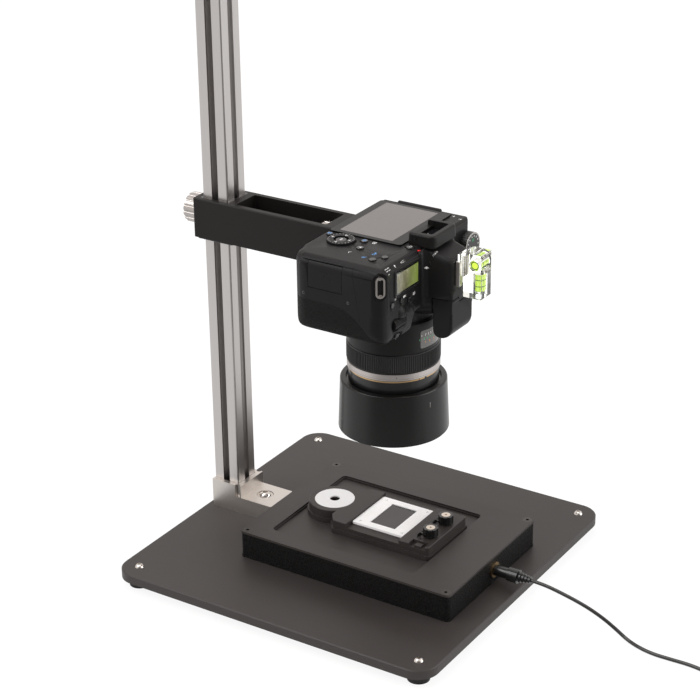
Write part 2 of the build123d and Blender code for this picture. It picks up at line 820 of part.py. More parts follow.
with BuildPart() as camera_shell:
    with BuildSketch(top_plane(-cam_base)):
        with BuildLine():
            FilletPolyline((-cam_left, 0), (cam_right, 0), (cam_right, grip_depth),
                           (grip_inner, grip_depth), (grip_inner - grip_blend, cam_depth),
                           (-cam_left, cam_depth), close=True,
                           radius=[back_round, grip_back_round, grip_round, grip_round * 0.7,
                                   grip_blend, grip_round * 0.8])
        make_face()
    extrude(amount=cam_base + cam_shoulder)
    with BuildSketch(back_plane(-grip_depth)):
        with BuildLine():
            FilletPolyline((-cam_left, -cam_base), (cam_right, -cam_base),
                           (cam_right, cam_shoulder), (-cam_left, cam_shoulder), close=True,
                           radius=[back_round * 2, base_round, shoulder_round,
                                   far_corner_round])
        make_face()
    extrude(amount=grip_depth, mode=Mode.INTERSECT)
    with BuildSketch(side_plane(-cam_left)):
        with BuildLine():
            FilletPolyline((-cam_base, 0), (cam_shoulder, 0), (cam_shoulder, -grip_depth),
                           (-cam_base, -grip_depth), close=True,
                           radius=[back_round, shoulder_back_round, shoulder_front_round,
                                   base_front_round])
        make_face()
    extrude(amount=cam_left + cam_right, mode=Mode.INTERSECT)
    # hump, with hollow curves down to the shoulder and a slope behind the eyecup
    with BuildSketch(back_plane(-hump_front)):
        with BuildLine():
            FilletPolyline((-hump_blend_half, cam_shoulder - join_lap),
                           (-hump_blend_half, cam_shoulder), (-hump_foot_half, cam_shoulder),
                           (-hump_top_half, hump_top), (hump_top_half, hump_top),
                           (hump_foot_half, cam_shoulder), (hump_blend_half, cam_shoulder),
                           (hump_blend_half, cam_shoulder - join_lap), close=True,
                           radius=[0, 0, hump_blend, hump_round, hump_round, hump_blend, 0, 0])
        make_face()
    extrude(amount=hump_front - hump_foot_rear)
    with BuildSketch(side_plane(-hump_blend_half)):
        with BuildLine():
            Polyline((cam_shoulder, 0), (cam_shoulder, -hump_foot_rear), (hump_top, -hump_rear),
                     (hump_top, 0), close=True)
        make_face()
    extrude(amount=2 * hump_blend_half, mode=Mode.SUBTRACT)
    with BuildSketch(top_plane(0)):
        with Locations((0, (brow_foot_depth + hump_front / 2) / 2)):
            RectangleRounded(2 * brow_foot_half, brow_foot_depth - hump_front / 2, grip_blend)
    with BuildSketch(top_plane(brow_top)):
        with Locations((0, (brow_depth + hump_front / 2) / 2)):
            RectangleRounded(2 * brow_half, brow_depth - hump_front / 2, grip_blend)
    loft()
    with BuildSketch(back_plane(-mount_depth)):
        Circle(mount_radius)
    extrude(amount=mount_depth - cam_depth + join_lap)
    with Locations(shroud_seat):
        Sphere(shroud_radius)
    # accessory bezel round the display window
    with BuildSketch(top_plane(cam_shoulder - join_lap)):
        with Locations(((window_left + window_right) / 2, (window_near + window_far) / 2)):
            RectangleRounded(window_right - window_left + 2 * bezel_margin,
                             window_far - window_near + 2 * bezel_margin, back_round)
    extrude(amount=join_lap + bezel_height)
    with BuildSketch(top_plane(cam_shoulder + bezel_height)):
        with Locations(((window_left + window_right) / 2, (window_near + window_far) / 2)):
            Rectangle(window_right - window_left, window_far - window_near)
    extrude(amount=-window_thickness, mode=Mode.SUBTRACT)
    # eyepiece
    with BuildSketch(back_plane(0)):
        with Locations((0, (eyecup_low + eyecup_high) / 2)):
            RectangleRounded(2 * (eyecup_half - eyecup_wall - rest_gap),
                             eyecup_high - eyecup_low - 2 * (eyecup_wall + rest_gap),
                             eyepiece_round)
    extrude(amount=eyepiece_height)
    with BuildSketch(back_plane(eyepiece_height)):
        with Locations((0, (eyecup_low + eyecup_high) / 2)):
            RectangleRounded(2 * (eyecup_half - 2 * eyecup_wall),
                             eyecup_high - eyecup_low - 3 * eyecup_wall, eyepiece_glass_round)
    extrude(amount=-eyepiece_recess, mode=Mode.SUBTRACT)
    # recess for the screen and for its hinge
    with BuildSketch(back_plane(-pocket_depth)):
        with Locations((screen_u, screen_v)):
            Rectangle(screen_width + 2 * screen_edge_gap, screen_height + 2 * screen_edge_gap)
    extrude(amount=pocket_depth + 1, mode=Mode.SUBTRACT)
    with BuildSketch(side_plane(-screen_left)):
        with Locations((hinge_bar_v, -screen_axis_depth)):
            Rectangle(hinge_bar_length + 2 * free_gap, hinge_pocket)
    extrude(amount=-(cam_left - screen_left + 1), mode=Mode.SUBTRACT)
    with BuildSketch(side_plane(-screen_left - screen_edge_gap)):
        with Locations((screen_v, 0)):
            Rectangle(screen_height + 2 * screen_edge_gap, 2 * screen_edge_bevel)
    extrude(amount=-screen_edge_bevel, mode=Mode.SUBTRACT)
    with BuildSketch(top_plane(hinge_bar_v - hinge_bar_length / 2 - hinge_pin_length - free_gap)):
        with Locations((-screen_axis_u, screen_axis_depth)):
            Circle(hinge_pin_radius + running)
    extrude(amount=hinge_bar_length + 2 * (hinge_pin_length + free_gap), mode=Mode.SUBTRACT)
    # tripod socket
    with BuildSketch(top_plane(-cam_base)):
        with Locations((0, socket_depth)):
            Circle(camera_screw_radius + running)
    extrude(amount=camera_screw_bite + 1, mode=Mode.SUBTRACT)
    # card door opening, in the grip side
    with BuildSketch(top_plane(-door_low - free_gap)):
        add(grip_skin(door_thickness + free_gap, door_top_depth - 2 * free_gap,
                      door_depth + free_gap))
    extrude(amount=door_low + door_high + 2 * free_gap, mode=Mode.SUBTRACT)
    with BuildSketch(top_plane(-door_low - door_pin_length - free_gap)):
        with Locations((cam_right - door_thickness / 2, door_depth - door_thickness / 2)):
            Circle(door_pin_radius + running)
    extrude(amount=door_low + door_high + 2 * (door_pin_length + free_gap), mode=Mode.SUBTRACT)
    # wells of the dials and buttons
    with BuildSketch(back_plane(-rear_dial_sunk - free_gap)):
        with Locations((rear_dial_u, rear_dial_v)):
            Circle(rear_dial_radius + free_gap)
            Circle(rear_dial_hub, mode=Mode.SUBTRACT)
    extrude(amount=rear_dial_sunk + 1, mode=Mode.SUBTRACT)
    with BuildSketch(back_plane(0)):
        with Locations((rear_dial_u, rear_dial_v)):
            Circle(set_radius + free_gap)
        for u, v, radius in rear_buttons.values():
            with Locations((u, v)):
                Circle(radius + free_gap)
    extrude(amount=-button_hole, mode=Mode.SUBTRACT)
    with BuildSketch(top_plane(cam_shoulder)):
        for u, depth, radius in top_buttons.values():
            with Locations((u, depth)):
                Circle(radius + free_gap)
    extrude(amount=-button_hole, mode=Mode.SUBTRACT)
    with BuildSketch(shutter_seat):
        Ellipse(shutter_dish_long, shutter_dish_short)
    extrude(amount=shutter_dish_clear, mode=Mode.SUBTRACT)
    with BuildSketch(shutter_seat):
        Circle(shutter_radius + free_gap)
    extrude(amount=-button_hole, mode=Mode.SUBTRACT)
    with BuildSketch(top_plane(cam_shoulder)):
        with Locations((-dial_u, dial_depth)):
            Circle(dial_pin_radius + running)
    extrude(amount=-(dial_pin_length + free_gap), mode=Mode.SUBTRACT)
    # slot of the control wheel and its axle holes
    with BuildSketch(side_plane(wheel_u - wheel_width / 2 - free_gap)):
        with Locations((wheel_v, -wheel_depth)):
            Circle(wheel_radius + free_gap * 1.5)
    extrude(amount=wheel_width + 2 * free_gap, mode=Mode.SUBTRACT)
    with BuildSketch(side_plane(wheel_u - wheel_width / 2 - wheel_pin_length - free_gap)):
        with Locations((wheel_v, -wheel_depth)):
            Circle(wheel_pin_radius + running)
    extrude(amount=wheel_width + 2 * (wheel_pin_length + free_gap), mode=Mode.SUBTRACT)
    # hollows that the strap lugs stand in
    for seat in (lug_seat, far_lug_seat):
        with BuildSketch(seat):
            SlotOverall(lug_length + 2 * lug_room, lug_width + 2 * lug_room)
        extrude(amount=lug_well * 3, mode=Mode.SUBTRACT)
    # knuckle that carries the flash
    with BuildSketch(side_plane(-knuckle_half)):
        with Locations((flash_axis_v, -flash_axis_depth)):
            Circle(flash_barrel)
        with Locations((flash_axis_v, -(flash_axis_depth + hump_front - 1) / 2)):
            Rectangle(2 * flash_barrel, flash_axis_depth - hump_front + 1)
        with Locations((flash_axis_v, -flash_axis_depth)):
            Circle(flash_pin_radius + running, mode=Mode.SUBTRACT)
    extrude(amount=2 * knuckle_half)
save(camera_shell, "camera_shell")

with BuildPart() as eyecup:
    with BuildSketch(back_plane(0)):
        with Locations((0, (eyecup_low + eyecup_high) / 2)):
            RectangleRounded(2 * eyecup_half, eyecup_high - eyecup_low, eyecup_wall)
    extrude(amount=eyecup_height, taper=3)
    fillet(eyecup.faces().sort_by(Axis.Z)[-1].edges(), eyecup_wall * 0.35)
    with BuildSketch(back_plane(0)):
        with Locations((0, (eyecup_low + eyecup_high) / 2)):
            RectangleRounded(2 * (eyecup_half - eyecup_wall),
                             eyecup_high - eyecup_low - 2 * eyecup_wall, eyecup_wall * 0.4)
    extrude(amount=eyecup_height, mode=Mode.SUBTRACT)
    with BuildSketch(top_plane(eyecup_low)):
        with Locations((0, -eyecup_height)):
            Rectangle(2 * (eyecup_half - eyecup_wall), eyecup_dip * 2)
    extrude(amount=eyecup_wall + 1, mode=Mode.SUBTRACT)
save(eyecup, "eyecup")

shoe_inner = shoe_half - shoe_wall
shoe_channel = level_foot_thickness + 2 * sliding
with BuildPart() as hot_shoe:
    with BuildSketch(back_plane(-shoe_near - shoe_length)):
        with Locations((0, hump_top + shoe_base / 2)):
            Rectangle(2 * shoe_half, shoe_base)
        for side in (-1, 1):
            with Locations((side * (shoe_half - shoe_wall / 2),
                            hump_top + (shoe_base + shoe_channel + shoe_roof) / 2)):
                Rectangle(shoe_wall, shoe_base + shoe_channel + shoe_roof)
            with Locations((side * (shoe_half - shoe_lip / 2),
                            hump_top + shoe_base + shoe_channel + shoe_roof / 2)):
                Rectangle(shoe_lip, shoe_roof)
    extrude(amount=shoe_length)
save(hot_shoe, "hot_shoe")

with BuildPart() as status_window:
    with BuildSketch(top_plane(cam_shoulder + bezel_height)):
        with Locations(((window_left + window_right) / 2, (window_near + window_far) / 2)):
            Rectangle(window_right - window_left - 2 * running,
                      window_far - window_near - 2 * running)
    extrude(amount=-window_thickness)
save(status_window, "status_window")


def lug_ring(plane):
    """Slotted strap lug on two feet, standing on the plane."""
    with BuildPart(plane) as lug:
        with BuildSketch(plane.offset(lug_bar)):
            SlotOverall(lug_length, lug_width)
            SlotOverall(lug_length - 2 * lug_bar, lug_width - 2 * lug_bar, mode=Mode.SUBTRACT)
        extrude(amount=lug_thickness)
        with BuildSketch(plane):
            for end in (-1, 1):
                with Locations((end * (lug_length / 2 - lug_bar), 0)):
                    Circle(lug_bar)
        extrude(amount=lug_bar + lug_thickness / 2)
    return lug.part


with BuildPart() as strap_lugs:
    add(lug_ring(lug_seat))
    add(lug_ring(far_lug_seat))
save(strap_lugs, "strap_lugs")

# ----------------------------------------------------------------------------
# Camera: pieces that move
# ----------------------------------------------------------------------------
door_axis_u = cam_right - door_thickness / 2
door_axis_depth = door_depth - door_thickness / 2
with BuildPart() as card_door:
    with BuildSketch(top_plane(-door_low)):
        add(grip_skin(door_thickness, door_top_depth, door_axis_depth))
        with Locations((door_axis_u, door_axis_depth)):
            Circle(door_thickness / 2)
    extrude(amount=door_low + door_high)
    with BuildSketch(top_plane(-door_low - door_pin_length)):
        with Locations((door_axis_u, door_axis_depth)):
            Circle(door_pin_radius)
    extrude(amount=door_low + door_high + 2 * door_pin_length)
save(card_door, "card_door")

with BuildPart() as screen_panel:
    with BuildSketch(back_plane(-screen_sunk)):
        with Locations((screen_u, screen_v)):
            RectangleRounded(screen_width, screen_height, screen_round)
    extrude(amount=screen_thickness)
    with BuildSketch(back_plane(screen_proud)):
        with Locations(((glass_right - glass_left) / 2, (glass_high - glass_low) / 2)):
            RectangleRounded(glass_left + glass_right, glass_low + glass_high, glass_round)
    extrude(amount=-glass_thickness, mode=Mode.SUBTRACT)
    with BuildSketch(side_plane(-screen_left)):
        with Locations((hinge_bar_v, -screen_axis_depth)):
            Circle(swivel_radius + running)
    extrude(amount=swivel_length, mode=Mode.SUBTRACT)
save(screen_panel, "screen_panel")

with BuildPart() as screen_glass:
    with BuildSketch(back_plane(screen_proud)):
        with Locations(((glass_right - glass_left) / 2, (glass_high - glass_low) / 2)):
            RectangleRounded(glass_left + glass_right - 2 * running,
                             glass_low + glass_high - 2 * running, glass_round)
    extrude(amount=-glass_thickness)
save(screen_glass, "screen_glass")

with BuildPart() as screen_hinge:
    with BuildSketch(top_plane(hinge_bar_v - hinge_bar_length / 2)):
        with Locations((-screen_axis_u, screen_axis_depth)):
            Circle(hinge_bar_radius)
    extrude(amount=hinge_bar_length)
    with BuildSketch(top_plane(hinge_bar_v - hinge_bar_length / 2 - hinge_pin_length)):
        with Locations((-screen_axis_u, screen_axis_depth)):
            Circle(hinge_pin_radius)
    extrude(amount=hinge_bar_length + 2 * hinge_pin_length)
    with BuildSketch(side_plane(-screen_axis_u)):
        with Locations((hinge_bar_v, -screen_axis_depth)):
            Circle(swivel_radius)
    extrude(amount=screen_axis_u - screen_left + swivel_length - free_gap)
save(screen_hinge, "screen_hinge")

foot_base = hump_top + shoe_base + sliding
with BuildPart() as level_block:
    with BuildSketch(back_plane(-level_far)):
        with Locations((0, (level_low + level_high) / 2)):
            Rectangle(2 * level_half, level_high - level_low)
    extrude(amount=level_far - level_near)
    chamfer(level_block.edges().filter_by(Axis.Z), level_edge)
    with BuildSketch(back_plane(-level_foot_start - level_foot_length)):
        with Locations((0, foot_base + level_foot_thickness / 2)):
            Rectangle(2 * (shoe_inner - sliding), level_foot_thickness)
        with Locations((0, (foot_base + level_low) / 2)):
            Rectangle(2 * (shoe_half - shoe_lip - free_gap), level_low - foot_base)
    extrude(amount=level_foot_length)
    with BuildSketch(side_plane(level_half)):
        with Locations((vial_a_v, -vial_a_depth)):
            Circle(vial_radius + running)
    extrude(amount=-(2 * level_half - vial_wall), mode=Mode.SUBTRACT)
    with BuildSketch(back_plane(-level_far)):
        with Locations((0, vial_b_v)):
            Circle(vial_radius + running)
    extrude(amount=level_far - vial_b_near, mode=Mode.SUBTRACT)
save(level_block, "level_block")

with BuildPart() as level_vials:
    with BuildSketch(side_plane(level_half - vial_wall)):
        with Locations((vial_a_v, -vial_a_depth)):
            Circle(vial_radius)
    extrude(amount=-2 * (level_half - vial_wall))
    with BuildSketch(back_plane(-vial_b_far)):
        with Locations((0, vial_b_v)):
            Circle(vial_radius)
    extrude(amount=vial_b_far - vial_b_near - running)
save(level_vials, "level_vials")

with BuildPart() as flash_head:
    with BuildSketch(side_plane(-flash_half)):
        with BuildLine():
            rear = -flash_axis_depth + flash_barrel
            crest = flash_axis_v + flash_barrel
            FilletPolyline((flash_low, rear), (crest, rear), (crest, -flash_tip),
                           (flash_low, -flash_tip), close=True,
                           radius=[0.5, flash_barrel - 0.01, flash_nose, flash_nose * 0.5])
        make_face()
    extrude(amount=2 * flash_half)
    fillet(flash_head.faces().filter_by(Axis.X).edges(), flash_edge)
    with BuildSketch(side_plane(-knuckle_half - free_gap)):
        with Locations((crest, rear)):
            Rectangle(4 * flash_barrel + 2 * free_gap, 4 * flash_barrel + 2 * free_gap)
    extrude(amount=2 * (knuckle_half + free_gap), mode=Mode.SUBTRACT)
    with BuildSketch(side_plane(-knuckle_half - flash_pin_bite)):
        with Locations((flash_axis_v, -flash_axis_depth)):
            Circle(flash_pin_radius)
    extrude(amount=2 * (knuckle_half + flash_pin_bite))
save(flash_head, "flash_head")

with BuildPart() as mode_dial:
    with BuildSketch(top_plane(cam_shoulder + free_gap)):
        with Locations((-dial_u, dial_depth)):
            add(fluted_disc(dial_radius, dial_teeth, dial_tooth_cut))
    extrude(amount=dial_height)
    with BuildSketch(top_plane(cam_shoulder + free_gap)):
        with Locations((-dial_u, dial_depth)):
            Circle(dial_pin_radius)
    extrude(amount=-(dial_pin_length + free_gap))
save(mode_dial, "mode_dial")

with BuildPart() as control_wheel:
    with BuildSketch(side_plane(wheel_u - wheel_width / 2)):
        with Locations((wheel_v, -wheel_depth)):
            add(fluted_disc(wheel_radius, wheel_teeth, wheel_tooth_cut))
    extrude(amount=wheel_width)
    with BuildSketch(side_plane(wheel_u - wheel_width / 2 - wheel_pin_length)):
        with Locations((wheel_v, -wheel_depth)):
            Circle(wheel_pin_radius)
    extrude(amount=wheel_width + 2 * wheel_pin_length)
save(control_wheel, "control_wheel")

with BuildPart() as rear_dial:
    with BuildSketch(back_plane(-rear_dial_sunk)):
        with Locations((rear_dial_u, rear_dial_v)):
            Circle(rear_dial_radius)
            Circle(rear_dial_hub + running, mode=Mode.SUBTRACT)
    extrude(amount=rear_dial_sunk + rear_dial_proud)
    chamfer(rear_dial.faces().sort_by(Axis.Z)[-1].outer_wire().edges(), rear_dial_edge)
save(rear_dial, "rear_dial")


def press_button(plane, x, y, radius):
    """Round button with a broken top edge, sunk in its hole."""
    with BuildPart() as button:
        with BuildSketch(plane.offset(-button_sunk)):
            with Locations((x, y)):
                Circle(radius)
        extrude(amount=button_sunk + button_proud)
        chamfer(button.faces().sort_by(Axis(plane.origin, plane.z_dir))[-1].edges(), button_edge)
    return button


buttons = {
    "set_button": (back_plane(0), rear_dial_u, rear_dial_v, set_radius),
    "shutter_button": (shutter_seat, 0, 0, shutter_radius),
}
for node, (u, v, radius) in rear_buttons.items():
    buttons[node] = (back_plane(0), u, v, radius)
for node, (u, depth, radius) in top_buttons.items():
    buttons[node] = (top_plane(cam_shoulder), u, depth, radius)
for node, (plane, x, y, radius) in buttons.items():
    save(press_button(plane, x, y, radius), node)

# ----------------------------------------------------------------------------
# Lens and hood
# ----------------------------------------------------------------------------
lens_axis = Axis((lens_x, lens_y, 0), (0, 0, 1))
lens_plane = Plane.XZ.offset(-lens_y)
mount_height = back_height - mount_depth
barrel_high = mount_height - flange_length - flange_slope
window_angle = math.radians(lens_window_turn)
window_sagitta = barrel_radius - math.sqrt(barrel_radius ** 2 - lens_window_half ** 2)
window_plane = Plane(
    origin=(lens_x + barrel_radius * math.cos(window_angle),
            lens_y + barrel_radius * math.sin(window_angle),
            above_plate((lens_window_low + lens_window_high) / 2)),
    x_dir=(-math.sin(window_angle), math.cos(window_angle), 0),
    z_dir=(math.cos(window_angle), math.sin(window_angle), 0))
focus_high = above_plate(focus_top)
focus_low = above_plate(focus_bottom)
front_height = above_plate(front_level)

with BuildPart() as lens_barrel:
    with BuildSketch(lens_plane):
        with BuildLine():
            Polyline((0, mount_height), (mount_radius - flange_edge, mount_height),
                     (mount_radius - flange_edge, mount_height - flange_length),
                     (barrel_radius, barrel_high),
                     (barrel_radius, focus_high + free_gap), (barrel_core, focus_high + free_gap),
                     (barrel_core, focus_low - free_gap), (0, focus_low - free_gap), close=True)
        make_face()
    revolve(axis=lens_axis)
    with BuildSketch(window_plane):
        RectangleRounded(2 * lens_window_half, lens_window_high - lens_window_low,
                         lens_window_round)
    extrude(amount=-lens_window_thickness - window_sagitta, mode=Mode.SUBTRACT)
save(lens_barrel, "lens_barrel")

with BuildPart() as distance_window:
    with BuildSketch(lens_plane):
        with BuildLine():
            Polyline((0, barrel_high), (barrel_radius, barrel_high),
                     (barrel_radius, focus_high + free_gap), (0, focus_high + free_gap),
                     close=True)
        make_face()
    revolve(axis=lens_axis)
    with BuildSketch(window_plane.offset(-lens_window_thickness - window_sagitta)):
        RectangleRounded(2 * (lens_window_half - running),
                         lens_window_high - lens_window_low - 2 * running, lens_window_round)
    extrude(amount=barrel_radius, mode=Mode.INTERSECT)
save(distance_window, "distance_window")

with BuildPart() as focus_ring:
    with BuildSketch(Plane.XY.offset(focus_low)):
        with Locations((lens_x, lens_y)):
            Circle(focus_radius)
            Circle(barrel_core + running, mode=Mode.SUBTRACT)
    extrude(amount=focus_high - focus_low)
    with BuildSketch(Plane.XY.offset(focus_low + rib_margin)):
        with Locations((lens_x, lens_y)):
            with PolarLocations(focus_radius, focus_ribs):
                Rectangle(2 * rib_depth, math.pi * focus_radius / focus_ribs)
    extrude(amount=focus_high - focus_low - 2 * rib_margin, mode=Mode.SUBTRACT)
save(focus_ring, "focus_ring")

bayonet_top = front_height + bayonet_height
with BuildPart() as front_barrel:
    with BuildSketch(lens_plane):
        with BuildLine():
            Polyline((0, focus_low - free_gap), (ring_radius, focus_low - free_gap),
                     (ring_radius, above_plate(ring_bottom)),
                     (front_radius, above_plate(ring_bottom) - ring_slope), (front_radius, bayonet_top),
                     (bayonet_radius, bayonet_top), (bayonet_radius, front_height),
                     (filter_radius, front_height),
                     (filter_radius, front_height + filter_depth),
                     (front_glass_radius + running, front_height + glass_seat),
                     (front_glass_radius + running,
                      front_height + glass_seat + front_glass_height),
                     (0, front_height + glass_seat + front_glass_height), close=True)
        make_face()
    revolve(axis=lens_axis)
save(front_barrel, "front_barrel")

with BuildPart() as front_glass:
    with BuildSketch(lens_plane):
        with BuildLine():
            seat = front_height + glass_seat + front_glass_height
            bulge = (0, front_height + glass_seat - front_glass_bulge)
            front_curve = JernArc(bulge, (1, 0), front_glass_curve,
                                  math.degrees(math.asin(front_glass_radius / front_glass_curve)))
            Polyline(front_curve @ 1, (front_glass_radius, seat), (0, seat), bulge)
        make_face()
    revolve(axis=lens_axis)
save(front_glass, "front_glass")

hood_high = above_plate(hood_top)
hood_low = above_plate(hood_bottom)
hood_bore = bayonet_radius + running
with BuildPart() as lens_hood:
    with BuildSketch(lens_plane):
        with BuildLine():
            FilletPolyline((hood_bore, hood_high), (hood_top_radius, hood_high),
                           (hood_bottom_radius, hood_low),
                           (hood_bottom_radius - hood_wall, hood_low),
                           (hood_top_radius - hood_wall, hood_high - hood_flange),
                           (hood_bore, hood_high - hood_flange), close=True,
                           radius=[0, hood_round, hood_wall * 0.3, hood_wall * 0.3,
                                   hood_round * 0.5, 0])
        make_face()
    revolve(axis=lens_axis)
save(lens_hood, "lens_hood")

# ----------------------------------------------------------------------------
# Light box
# ----------------------------------------------------------------------------
case_width = box_width - 2 * skin_inset
case_length = box_length - 2 * skin_inset
case_top = above_plate(box_height - panel_thickness)
case_front = box_y - case_length / 2
recess_floor = above_plate(box_height - 2 * recess_step)
skirt_bottom = above_plate(box_height - panel_thickness - panel_skirt)
jack_height = above_plate(jack_level)
jack_plane = Plane(origin=(jack_x, case_front, jack_height), x_dir=(0, -1, 0), z_dir=(1, 0, 0))
jack_axis = Axis((jack_x, case_front, jack_height), (0, -1, 0))
board_bottom = above_plate(box_floor + standoff_height)

with BuildPart() as light_box_case:
    with BuildSketch(Plane.XY.offset(plate_top)):
        with Locations((box_x, box_y)):
            RectangleRounded(case_width, case_length, box_corner)
    extrude(amount=case_top - plate_top)
    with BuildSketch(Plane.XY.offset(plate_top)):
        with Locations((box_x, box_y)):
            RectangleRounded(box_width, box_length, box_corner)
    extrude(amount=box_lip)
    with BuildSketch(Plane.XY.offset(plate_top + box_floor)):
        with Locations((box_x, box_y)):
            Rectangle(case_width - 2 * box_wall, case_length - 2 * box_wall)
    extrude(amount=case_top - plate_top, mode=Mode.SUBTRACT)
    with BuildSketch(Plane.XY.offset(plate_top + box_floor)):
        with Locations((box_x, box_y)):
            with GridLocations(panel_screw_x, panel_screw_y, 2, 2):
                Circle(post_radius)
    extrude(amount=case_top - plate_top - box_floor)
    with BuildSketch(Plane.XY.offset(case_top)):
        with Locations((box_x, box_y)):
            with GridLocations(panel_screw_x, panel_screw_y, 2, 2):
                Circle(panel_screw_radius + running)
    extrude(amount=-panel_screw_length, mode=Mode.SUBTRACT)
    with BuildSketch(Plane.XY.offset(plate_top + box_floor)):
        with Locations((lens_x, slide_y)):
            with GridLocations(led_board_width - 3 * standoff_radius,
                               led_board_length - 3 * standoff_radius, 2, 2):
                Circle(standoff_radius)
    extrude(amount=standoff_height)
    with BuildSketch(Plane.XZ.offset(-case_front)):
        with Locations((jack_x, jack_height)):
            Circle(jack_barrel_radius + running)
    extrude(amount=-box_wall, mode=Mode.SUBTRACT)
save(light_box_case, "light_box_case")

with BuildPart() as light_box_panel:
    with BuildSketch(Plane.XY.offset(case_top)):
        with Locations((box_x, box_y)):
            RectangleRounded(box_width, box_length, box_corner)
    extrude(amount=panel_thickness)
    with BuildSketch(Plane.XY.offset(case_top)):
        with Locations((recess_x, recess_y)):
            RectangleRounded(recess_width + 2 * panel_skirt_wall,
                             recess_length + 2 * panel_skirt_wall, recess_corner)
    extrude(amount=-panel_skirt)
    with BuildSketch(Plane.XY.offset(above_plate(box_height))):
        with Locations((recess_x, recess_y)):
            RectangleRounded(recess_width, recess_length, recess_corner)
    extrude(amount=-recess_step, mode=Mode.SUBTRACT)
    with BuildSketch(Plane.XY.offset(above_plate(box_height) - recess_step)):
        with Locations((recess_x, recess_y)):
            RectangleRounded(recess_width - 2 * recess_ledge, recess_length - 2 * recess_ledge,
                             recess_corner - recess_ledge)
    extrude(amount=-recess_step, mode=Mode.SUBTRACT)
    with BuildSketch(Plane.XY.offset(skirt_bottom)):
        with Locations((lens_x, slide_y)):
            Rectangle(window_side, window_side)
    extrude(amount=box_height, mode=Mode.SUBTRACT)
    with Locations((box_x, box_y, above_plate(box_height))):
        with GridLocations(panel_screw_x, panel_screw_y, 2, 2):
            CounterSinkHole(panel_screw_radius + running, panel_head_radius + running,
                            panel_thickness, 90)
save(light_box_panel, "light_box_panel")

head_cone = panel_head_radius - panel_screw_radius
with BuildPart() as panel_screw:
    with BuildSketch(Plane.XZ):
        with BuildLine():
            Polyline((0, 0), (panel_head_radius, 0), (panel_screw_radius, -head_cone),
                     (panel_screw_radius, -panel_screw_length),
                     (0, -panel_screw_length), close=True)
        make_face()
    revolve(axis=Axis.Z)
    with BuildSketch(Plane.XY):
        RegularPolygon(panel_socket / 2, 6, major_radius=False)
    extrude(amount=-head_cone * socket_share, mode=Mode.SUBTRACT)

with BuildPart() as panel_screws:
    with Locations((box_x, box_y, above_plate(box_height))):
        with GridLocations(panel_screw_x, panel_screw_y, 2, 2):
            add(panel_screw.part)
save(panel_screws, "panel_screws")

with BuildPart() as diffuser:
    with BuildSketch(Plane.XY.offset(skirt_bottom)):
        with Locations((lens_x, slide_y)):
            Rectangle(diffuser_side, diffuser_side)
    extrude(amount=-diffuser_thickness)
save(diffuser, "diffuser")

with BuildPart() as led_board:
    with BuildSketch(Plane.XY.offset(board_bottom)):
        with Locations((lens_x, slide_y)):
            Rectangle(led_board_width, led_board_length)
    extrude(amount=led_board_thickness)
    with BuildSketch(Plane.XY.offset(board_bottom + led_board_thickness)):
        with Locations((lens_x, slide_y)):
            with GridLocations(led_pitch, led_pitch, 4, 4):
                Rectangle(led_size, led_size)
    extrude(amount=led_height)
save(led_board, "led_board")

with BuildPart() as dc_jack:
    with BuildSketch(jack_plane):
        with BuildLine():
            Polyline((jack_ring_thickness, jack_bore), (jack_ring_thickness, jack_ring_radius),
                     (0, jack_ring_radius), (0, jack_barrel_radius),
                     (-box_wall, jack_barrel_radius), (-box_wall, jack_body_radius),
                     (-box_wall - jack_body_length, jack_body_radius),
                     (-box_wall - jack_body_length, 0),
                     (jack_ring_thickness - jack_bore_depth, 0),
                     (jack_ring_thickness - jack_bore_depth, jack_bore), close=True)
        make_face()
    revolve(axis=jack_axis)
save(dc_jack, "dc_jack")

# ----------------------------------------------------------------------------
# Slide and its carrier
# ----------------------------------------------------------------------------
carrier_high = above_plate(carrier_top)
carrier_low = recess_floor + rest_gap
slide_high = above_plate(slide_level)
channel_floor = slide_high - slide_thickness - rest_gap
channel_half = slide_side / 2 + slide_side_gap

with BuildSketch() as carrier_outline:
    with BuildLine():
        FilletPolyline((carrier_left, carrier_near), (carrier_right, carrier_near),
                       (carrier_right, carrier_far), (neck_right, neck_far),
                       (neck_left, neck_far), (carrier_left, carrier_far), close=True,
                       radius=[carrier_round, carrier_round, carrier_round, 0, 0,
                               carrier_round])
    make_face()
    with Locations((lobe_x, lobe_y)):
        Circle(lobe_radius)

with BuildSketch() as groove:
    Circle(finger_reach + groove_half)
    Circle(finger_reach - groove_half, mode=Mode.SUBTRACT)
    with BuildLine():
        spread = 2 * finger_reach
        half_turn = math.radians(groove_half_angle)
        Polyline((0, 0), (-spread * math.sin(half_turn), spread * math.cos(half_turn)),
                 (0, 2 * spread), (spread * math.sin(half_turn), spread * math.cos(half_turn)),
                 close=True)
    make_face(mode=Mode.INTERSECT)

